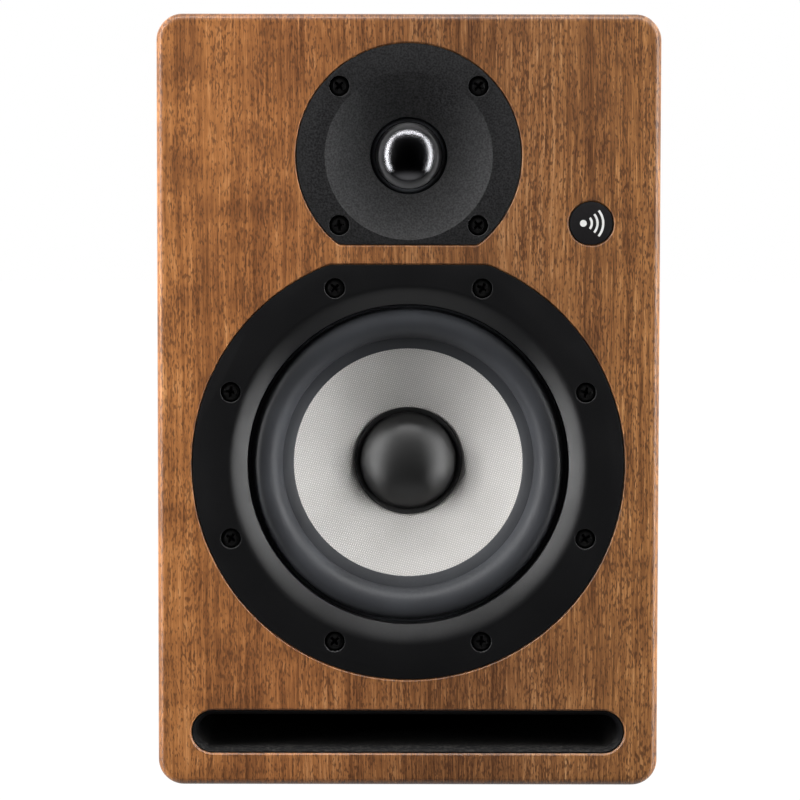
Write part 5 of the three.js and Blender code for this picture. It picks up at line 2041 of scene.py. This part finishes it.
        tubes = [turned(tube, 20, spot) for spot in spots]
        tubes.append(turned(stepped(face, (2.75, -20), (3.2, -20), (3.2, -1.2), (2.9, -1.1)), 32, place))
        piece("combo_contacts", join(tubes), metal)
        for number, (sx, sz) in enumerate(((-1, 1), (1, -1)), 1):
            spot = (place[0] + sx * 9.8 * MM, place[1] + sz * 12.3 * MM)
            self.rear_screw(f"combo_screw_{number}", spot, face - 0.6 * MM, 1.7 * MM)

    def build_phono(self) -> None:
        """The phono socket: plated barrel and nut, and a red insulator."""
        place, low, high = self.fitting("phono_jack")
        seat, back = self.seat, high.y
        metal, red = self.finishes.nickel, self.finishes.ring_red
        shell = turned([
            (1.75 * MM, low.y), (5.0 * MM, low.y), *stepped(seat, (5.0, -1.5), (4.15, -1.2)),
            *stepped(back, (4.15, -0.35), (3.9, 0), (3.55, 0), (3.3, -0.3), (3.3, -7.5), (1.75, -7.5)),
        ], 56, place)
        piece("phono_barrel", shell, metal, CABINET, ["phono_jack"])
        nut = prism(arc(place, 6.3 * MM, 0.2, math.tau + 0.2, 6)[:-1], seat + 1.55 * MM, seat + 3.4 * MM)
        soften_sharp(nut, 0.25 * MM, 2, 40)
        bore = prism(circle(place, 4.2 * MM, 32), seat, seat + 6 * MM)
        piece("phono_nut", carve(nut, [bore]), metal)
        ring = turned(stepped(
            seat, (5.2, 0), (6.7, 0), (7.0, 0.3), (7.0, 1.2), (6.7, 1.5), (4.2, 1.5), (4.2, 0.2)
        ), 56, place)
        piece("phono_ring", ring, red)
        core = turned(stepped(
            back, (1.2, -7.4), (3.25, -7.4), (3.25, -2.2), (3.0, -1.9), (1.75, -1.9), (1.7, -2.2), (1.2, -7.0)
        ), 32, place)
        piece("phono_insulator", core, red)

    def build_inlet(self) -> None:
        """The mains inlet with its pins and its screws."""
        place, low, high = self.fitting("mains_inlet")
        face = high.y
        black = self.finishes.black
        rows = ((48, 30, 3, 0.6), (47.64, 29.64, 2.82, 0.18), (46.8, 28.8, 2.4, 0.0))
        made = carve(self.flange(place, face, rows, 6), [self.tub(place, low.y, 14, 13.5)], Cut.ADD)
        well = (place[0], place[1] - 4.5 * MM)
        x, z, cut = 11.25 * MM, 7.5 * MM, 4.0 * MM
        ears = [(place[0] + side * 20 * MM, place[1]) for side in (-1, 1)]

        def socket(grow: float) -> Outline:
            """The socket's outline: a rectangle with its two upper corners cut."""
            a, b, c = x + grow, z + grow, cut + grow * 0.4
            corners = [(a, -b), (a, b - c), (a - c, b), (-a + c, b), (-a, b - c), (-a, -b)]
            return [(well[0] + u, well[1] + v) for u, v in corners]

        mouth, plain = socket(0.9 * MM), socket(0.0)
        steps = [(plain, face - 16 * MM), (plain, face - 0.5 * MM), (mouth, face + 0.4 * MM)]
        drawer = (place[0], place[1] + 8.6 * MM)
        tools = [lofted(steps), self.window(drawer, (22, 6.5, 0.3), face - 20 * MM, face + 1 * MM)]
        sunk = stepped(face, (0, -3), (1.7, -3), (1.7, -1.6), (3.4, 0.1), (3.4, 1), (0, 1))
        tools += [turned(sunk, 32, ear) for ear in ears]
        piece("inlet_body", carve(made, tools), black, CABINET, ["mains_inlet"])
        pins = []
        for dx, dz in ((-7.0, -2.0), (7.0, -2.0), (0.0, 2.0)):
            spot = (well[0] + dx * MM, well[1] + dz * MM)
            wide = rounded_rectangle(spot, 2 * MM, 4 * MM, 0.3 * MM, 3)
            narrow = rounded_rectangle(spot, 1.3 * MM, 3.2 * MM, 0.2 * MM, 3)
            steps = [(wide, face - 16.5 * MM), (wide, face - 3.2 * MM), (narrow, face - 2.2 * MM)]
            pins.append(lofted(steps))
        piece("inlet_pins", join(pins), self.finishes.nickel)
        for number, ear in enumerate(ears, 1):
            self.rear_screw(f"inlet_screw_{number}", ear, face - 1.3 * MM, 2.6 * MM)

    def build_drawer(self) -> None:
        """The fuse drawer: a tray, open on top, behind a cover with a finger grip."""
        spot, low, high = self.fitting("fuse_drawer")
        inset = Vector((0.8, 0.0, 0.8)) * MM
        tray = block(low + inset, high - inset - Vector((0.0, 1.0 * MM, 0.0)))
        wide, tall = high.x - low.x, high.z - low.z
        lip = rounded_rectangle(spot, wide, tall, 1.0 * MM, 5)
        slim = rounded_rectangle(spot, wide - 0.8 * MM, tall - 0.8 * MM, 0.7 * MM, 5)
        front, over = high.y - 1.3 * MM, high.y + 1 * MM
        cover = lofted([(lip, front), (lip, high.y - 0.4 * MM), (slim, high.y)])
        made = carve(cover, [tray], Cut.ADD)
        grip = self.window((spot[0], low.z + 1.3 * MM), (6.0, 1.5, 0.6), high.y - 0.8 * MM, over, 4)
        notch = self.window(spot, (14, 3.0, 0.4), high.y - 0.35 * MM, over, 3)
        made = carve(made, [grip, notch])
        floor = (low.x + 2.2 * MM, low.y + 2 * MM, low.z + 2.0 * MM)
        made = carve(made, [block(floor, (high.x - 2.2 * MM, front - 1.0 * MM, high.z + 1 * MM))])
        piece("fuse_tray", made, self.finishes.black, "fuse", ["fuse_drawer"])

    def build_switches(self) -> None:
        """The rocker switch: its frame, its key and the key's signs."""
        place, low, high = self.fitting("power_switch_frame")
        rows = ((15.2, 21.2, 1.5, 0.6), (14.8, 20.8, 1.38, 0.15), (14.0, 20.0, 1.14, 0.0))
        made = carve(self.flange(place, high.y, rows, 5), [self.tub(place, low.y, 6.3, 9.3)], Cut.ADD)
        well = self.window(place, (10.8, 17.2, 0.3), self.seat - 11 * MM, high.y + 1 * MM)
        black, old = self.finishes.black, ["power_switch_frame"]
        piece("switch_bezel", carve(made, [well]), black, CABINET, old)
        pivot, lean = (self.seat - 1.3 * MM, place[1]), math.radians(8)
        reach, rise, dip, hub = 7.2 * MM, 4.4 * MM, 3.0 * MM, 5.0 * MM
        side = math.sqrt((8 * MM) ** 2 - reach ** 2)
        hollow = [
            (dip + (rise - dip) * abs(1 - 2 * i / 12) ** 1.6, reach * (2 * i / 12 - 1)) for i in range(13)
        ]
        back = arc((0.0, 0.0), hub, math.pi / 3, 5 * math.pi / 3, 16)
        made = prism([*hollow, (side, reach), *back, (side, -reach)], -5.1 * MM, 5.1 * MM)
        turn(made, -math.pi / 2, "Z")
        soften_sharp(made, 0.3 * MM, 2, 40)
        turn(made, lean, "X")
        bmesh.ops.recalc_face_normals(made, faces=made.faces[:])
        shift(made, place[0], pivot[0], pivot[1])
        piece("rocker_key", made, self.finishes.gloss, "power", ["power_rocker"])
        round_mark, middle = circle((0, 0), 1.4 * MM, 28), circle((0, 0), 0.9 * MM, 28)
        signs = {
            1: block((-0.3 * MM, 0.0, -1.3 * MM), (0.3 * MM, 0.12 * MM, 1.3 * MM)),
            -1: carve(prism(round_mark, 0.0, 0.12 * MM), [prism(middle, -1 * MM, 1 * MM)]),
        }
        slope = math.atan2(rise - dip, reach) * 1.25
        for up, sign in signs.items():
            turn(sign, up * slope, "X")
            shift(sign, 0.0, 3.53 * MM, up * 4.4 * MM)
            turn(sign, lean, "X")
            shift(sign, place[0], pivot[0], pivot[1])
        piece("rocker_signs", join(signs.values()), self.finishes.mark, "power")

    def build_selector(self) -> None:
        """The voltage selector with its slider."""
        place, low, high = self.fitting("voltage_selector")
        face = high.y
        rows = ((20, 9, 1, 0.3), (19.4, 8.4, 0.8, 0.0))
        made = carve(self.flange(place, face, rows, 4), [self.tub(place, low.y, 9, 4)], Cut.ADD)
        well = self.window(place, (10.1, 5.4, 0.3), face - 3.5 * MM, face + 1 * MM)
        black, old = self.finishes.black, ["voltage_selector"]
        piece("selector_bezel", carve(made, [well]), black, CABINET, old)
        spot, low, high = self.fitting("voltage_slider")
        key = block(low, high)
        soften_sharp(key, 0.25 * MM, 2)
        end = (spot[0] + 0.5 * MM, high.y + 1 * MM, high.z + 1 * MM)
        groove = block((spot[0] - 0.5 * MM, high.y - 0.8 * MM, low.z - 1 * MM), end)
        made = carve(key, [groove])
        piece("selector_key", made, self.finishes.red, "voltage", ["voltage_slider"])

    def build_marks(self) -> None:
        """Generic printed lines that frame the groups of fittings."""
        face, corner = self.places.plate_face, 2.5
        line = 0.3
        frames = (((-36.0, 146.0), 38.0, 76.0), ((34.0, 146.0), 46.0, 76.0), ((0.0, 73.5), 132.0, 41.0))
        rules = []
        for (x, z), width, height in frames:
            place = (x * MM, z * MM)
            sizes = (width, height, corner)
            outer = self.window(place, sizes, face - 0.05 * MM, face + self.print_lift, 5)
            sizes = (width - 2 * line, height - 2 * line, corner - line)
            rules.append(carve(outer, [self.window(place, sizes, face - 1 * MM, face + 1 * MM, 5)]))
        piece("plate_print", join(rules), self.finishes.mark)

    def build(self) -> None:
        """Builds the amplifier."""
        self.build_plate()
        self.build_heat_sink()
        for dial in self.dials:
            self.build_knob(dial)
        self.build_combo()
        self.build_phono()
        self.build_inlet()
        self.build_drawer()
        self.build_switches()
        self.build_selector()
        self.build_marks()
        f = self.finishes
        for node, finish in {
            "amp_board": f.board, "control_board": f.board, "amp_chassis": f.steel,
            "power_transformer": f.tape, "woofer_lead": f.wire, "tweeter_lead": f.wire,
        }.items():
            dress(node, finish)


# ---- the studio


class Reach(Enum):
    """What a lamp adds to: everything, only the even light, or only the highlights."""

    ALL = "all"
    EVEN = "even"
    GLEAM = "gleam"


@dataclass(frozen=True)
class Softbox:
    """A rectangular lamp that looks at the speaker."""

    name: str
    place: tuple[float, float, float]
    target: tuple[float, float, float]
    size: tuple[float, float]
    power: float
    reach: Reach = Reach.ALL

    def build(self) -> None:
        """Hangs the lamp."""
        data = bpy.data.lights.new(self.name, "AREA")
        data.shape = "RECTANGLE"
        data.size, data.size_y = self.size
        data.energy = self.power
        lamp = bpy.data.objects.new(self.name, data)
        bpy.context.scene.collection.objects.link(lamp)
        lamp.location = self.place
        lamp.rotation_euler = (Vector(self.target) - Vector(self.place)).to_track_quat("-Z", "Y").to_euler()
        lamp.visible_camera = False
        lamp.visible_glossy = self.reach is not Reach.EVEN
        lamp.visible_diffuse = self.reach is not Reach.GLEAM


@dataclass
class Studio:
    """The camera, the lamps, the world and the floor."""

    lens: float = 171.6
    pitch: float = 4.4
    roll: float = 0.1
    camera_place: tuple[float, float, float] = (-0.0003, -1.5085, 0.2512)
    shift_x: float = -0.0094
    lamps: Sequence[Softbox] = (
        Softbox("left_softbox", (-1.10, -0.60, 0.42), (0.0, -0.1, 0.4), (0.11, 2.2), 24.5),
        Softbox("right_softbox", (1.10, -0.60, 0.42), (0.0, -0.1, 0.4), (0.11, 2.2), 20.5),
        Softbox("left_skimming_lamp", (-1.35, -0.36, 0.35), (0.0, -0.1, 0.15), (0.3, 1.2), 46.0, Reach.EVEN),
        Softbox("right_skimming_lamp", (1.35, -0.36, 0.35), (0.0, -0.1, 0.15), (0.3, 1.2), 39.0, Reach.EVEN),
        Softbox("top_gleam", (0.0, -0.54, 1.45), (0.0, -0.1, 0.2), (1.9, 0.07), 17.0, Reach.GLEAM),
        Softbox("back_left_softbox", (-0.9, 1.1, 0.9), (0.0, 0.1, 0.15), (0.7, 0.7), 6.0),
        Softbox("back_right_softbox", (0.9, 1.1, 0.9), (0.0, 0.1, 0.15), (0.7, 0.7), 6.0),
    )

    def build_camera(self) -> None:
        """The camera, a little above the middle and looking slightly down."""
        data = bpy.data.cameras.new("camera")
        data.lens, data.sensor_width = self.lens, 36.0
        data.shift_x = self.shift_x
        data.clip_start, data.clip_end = 0.05, 20.0
        camera = bpy.data.objects.new("camera", data)
        bpy.context.scene.collection.objects.link(camera)
        camera.location = self.camera_place
        tilt = Matrix.Rotation(math.radians(90 - self.pitch), 4, "X")
        camera.rotation_euler = (tilt @ Matrix.Rotation(math.radians(self.roll), 4, "Z")).to_euler()
        bpy.context.scene.camera = camera

    def build_world(self) -> None:
        """A white backdrop to the eye, and a room that is dim in front and brighter at the sides."""
        world = bpy.data.worlds.new("studio")
        world.use_nodes = True
        bpy.context.scene.world = world
        tree = Tree(world.node_tree)
        room = world.node_tree.nodes["Background"]
        way = tree.split(tree.add("TexCoord").outputs["Generated"])
        level = tree.ramp(tree.span(way[1], -1.0, 1.0), [
            (0.0, paint(0, 0, 0)), (0.2, paint(10, 10, 10)), (0.40, paint(96, 96, 97)),
            (0.54, paint(255, 255, 255)), (1.0, paint(244, 244, 244)),
        ])
        table = tree.mix(tree.span(way[2], -0.72, -0.9), level, paint(238, 238, 238))
        below = tree.mix(tree.add("LightPath").outputs["Is Glossy Ray"], paint(12, 12, 12), table)
        level = tree.mix(tree.span(way[2], -0.2, 0.05), below, level)
        tree.feed(room.inputs["Color"], level)
        backdrop = tree.add("Background", {"Color": (1.0, 1.0, 1.0, 1.0), "Strength": 1.0})
        seen = tree.add("LightPath").outputs["Is Camera Ray"]
        final = tree.add("MixShader", {0: seen, 1: room.outputs[0], 2: backdrop.outputs[0]})
        tree.feed(world.node_tree.nodes["World Output"].inputs[0], final.outputs[0])

    def build_floor(self) -> None:
        """A pale floor that is nearly white to the eye and takes a faint shadow."""
        material, tree, shader = start("pale_floor", 0.8, specular=0.1)
        own = tree.own()
        cloud = tree.span(tree.noise(own, 6.0, 3.0), 0.3, 0.7)
        feed(tree, shader, tree.mix(cloud, paint(68, 68, 68), paint(74, 74, 74)))
        glow = tree.add("Emission", {"Color": (1.0, 1.0, 1.0, 1.0), "Strength": 1.13})
        share = tree.times(tree.add("LightPath").outputs["Is Camera Ray"], 0.9)
        final = tree.add("MixShader", {0: share, 1: shader.outputs[0], 2: glow.outputs[0]})
        tree.feed(material.node_tree.nodes["Material Output"].inputs[0], final.outputs[0])
        made = bmesh.new()
        bmesh.ops.create_circle(made, cap_ends=True, segments=96, radius=4.0)
        mesh = bpy.data.meshes.new("floor")
        made.to_mesh(mesh)
        made.free()
        mesh.materials.append(material)
        floor = bpy.data.objects.new("floor", mesh)
        bpy.context.scene.collection.objects.link(floor)
        floor.location.z = -0.0004
        floor.visible_glossy = False

    def build(self) -> None:
        """Sets the studio up."""
        bpy.context.scene.view_settings.view_transform = "Standard"
        self.build_camera()
        self.build_world()
        self.build_floor()
        for lamp in self.lamps:
            lamp.build()


def main() -> None:
    """Builds the speaker piece by piece, then the studio, and reports on each."""
    logging.basicConfig(level=logging.INFO, format="%(message)s")
    places = Places.read()
    finishes = Finishes(places)
    for part in (Cabinet, Woofer, Tweeter, Amplifier):
        LOG.info("building the %s", part.__name__.lower())
        part(places, finishes).build()
    Studio().build()


if __name__ == "__main__":
    main()
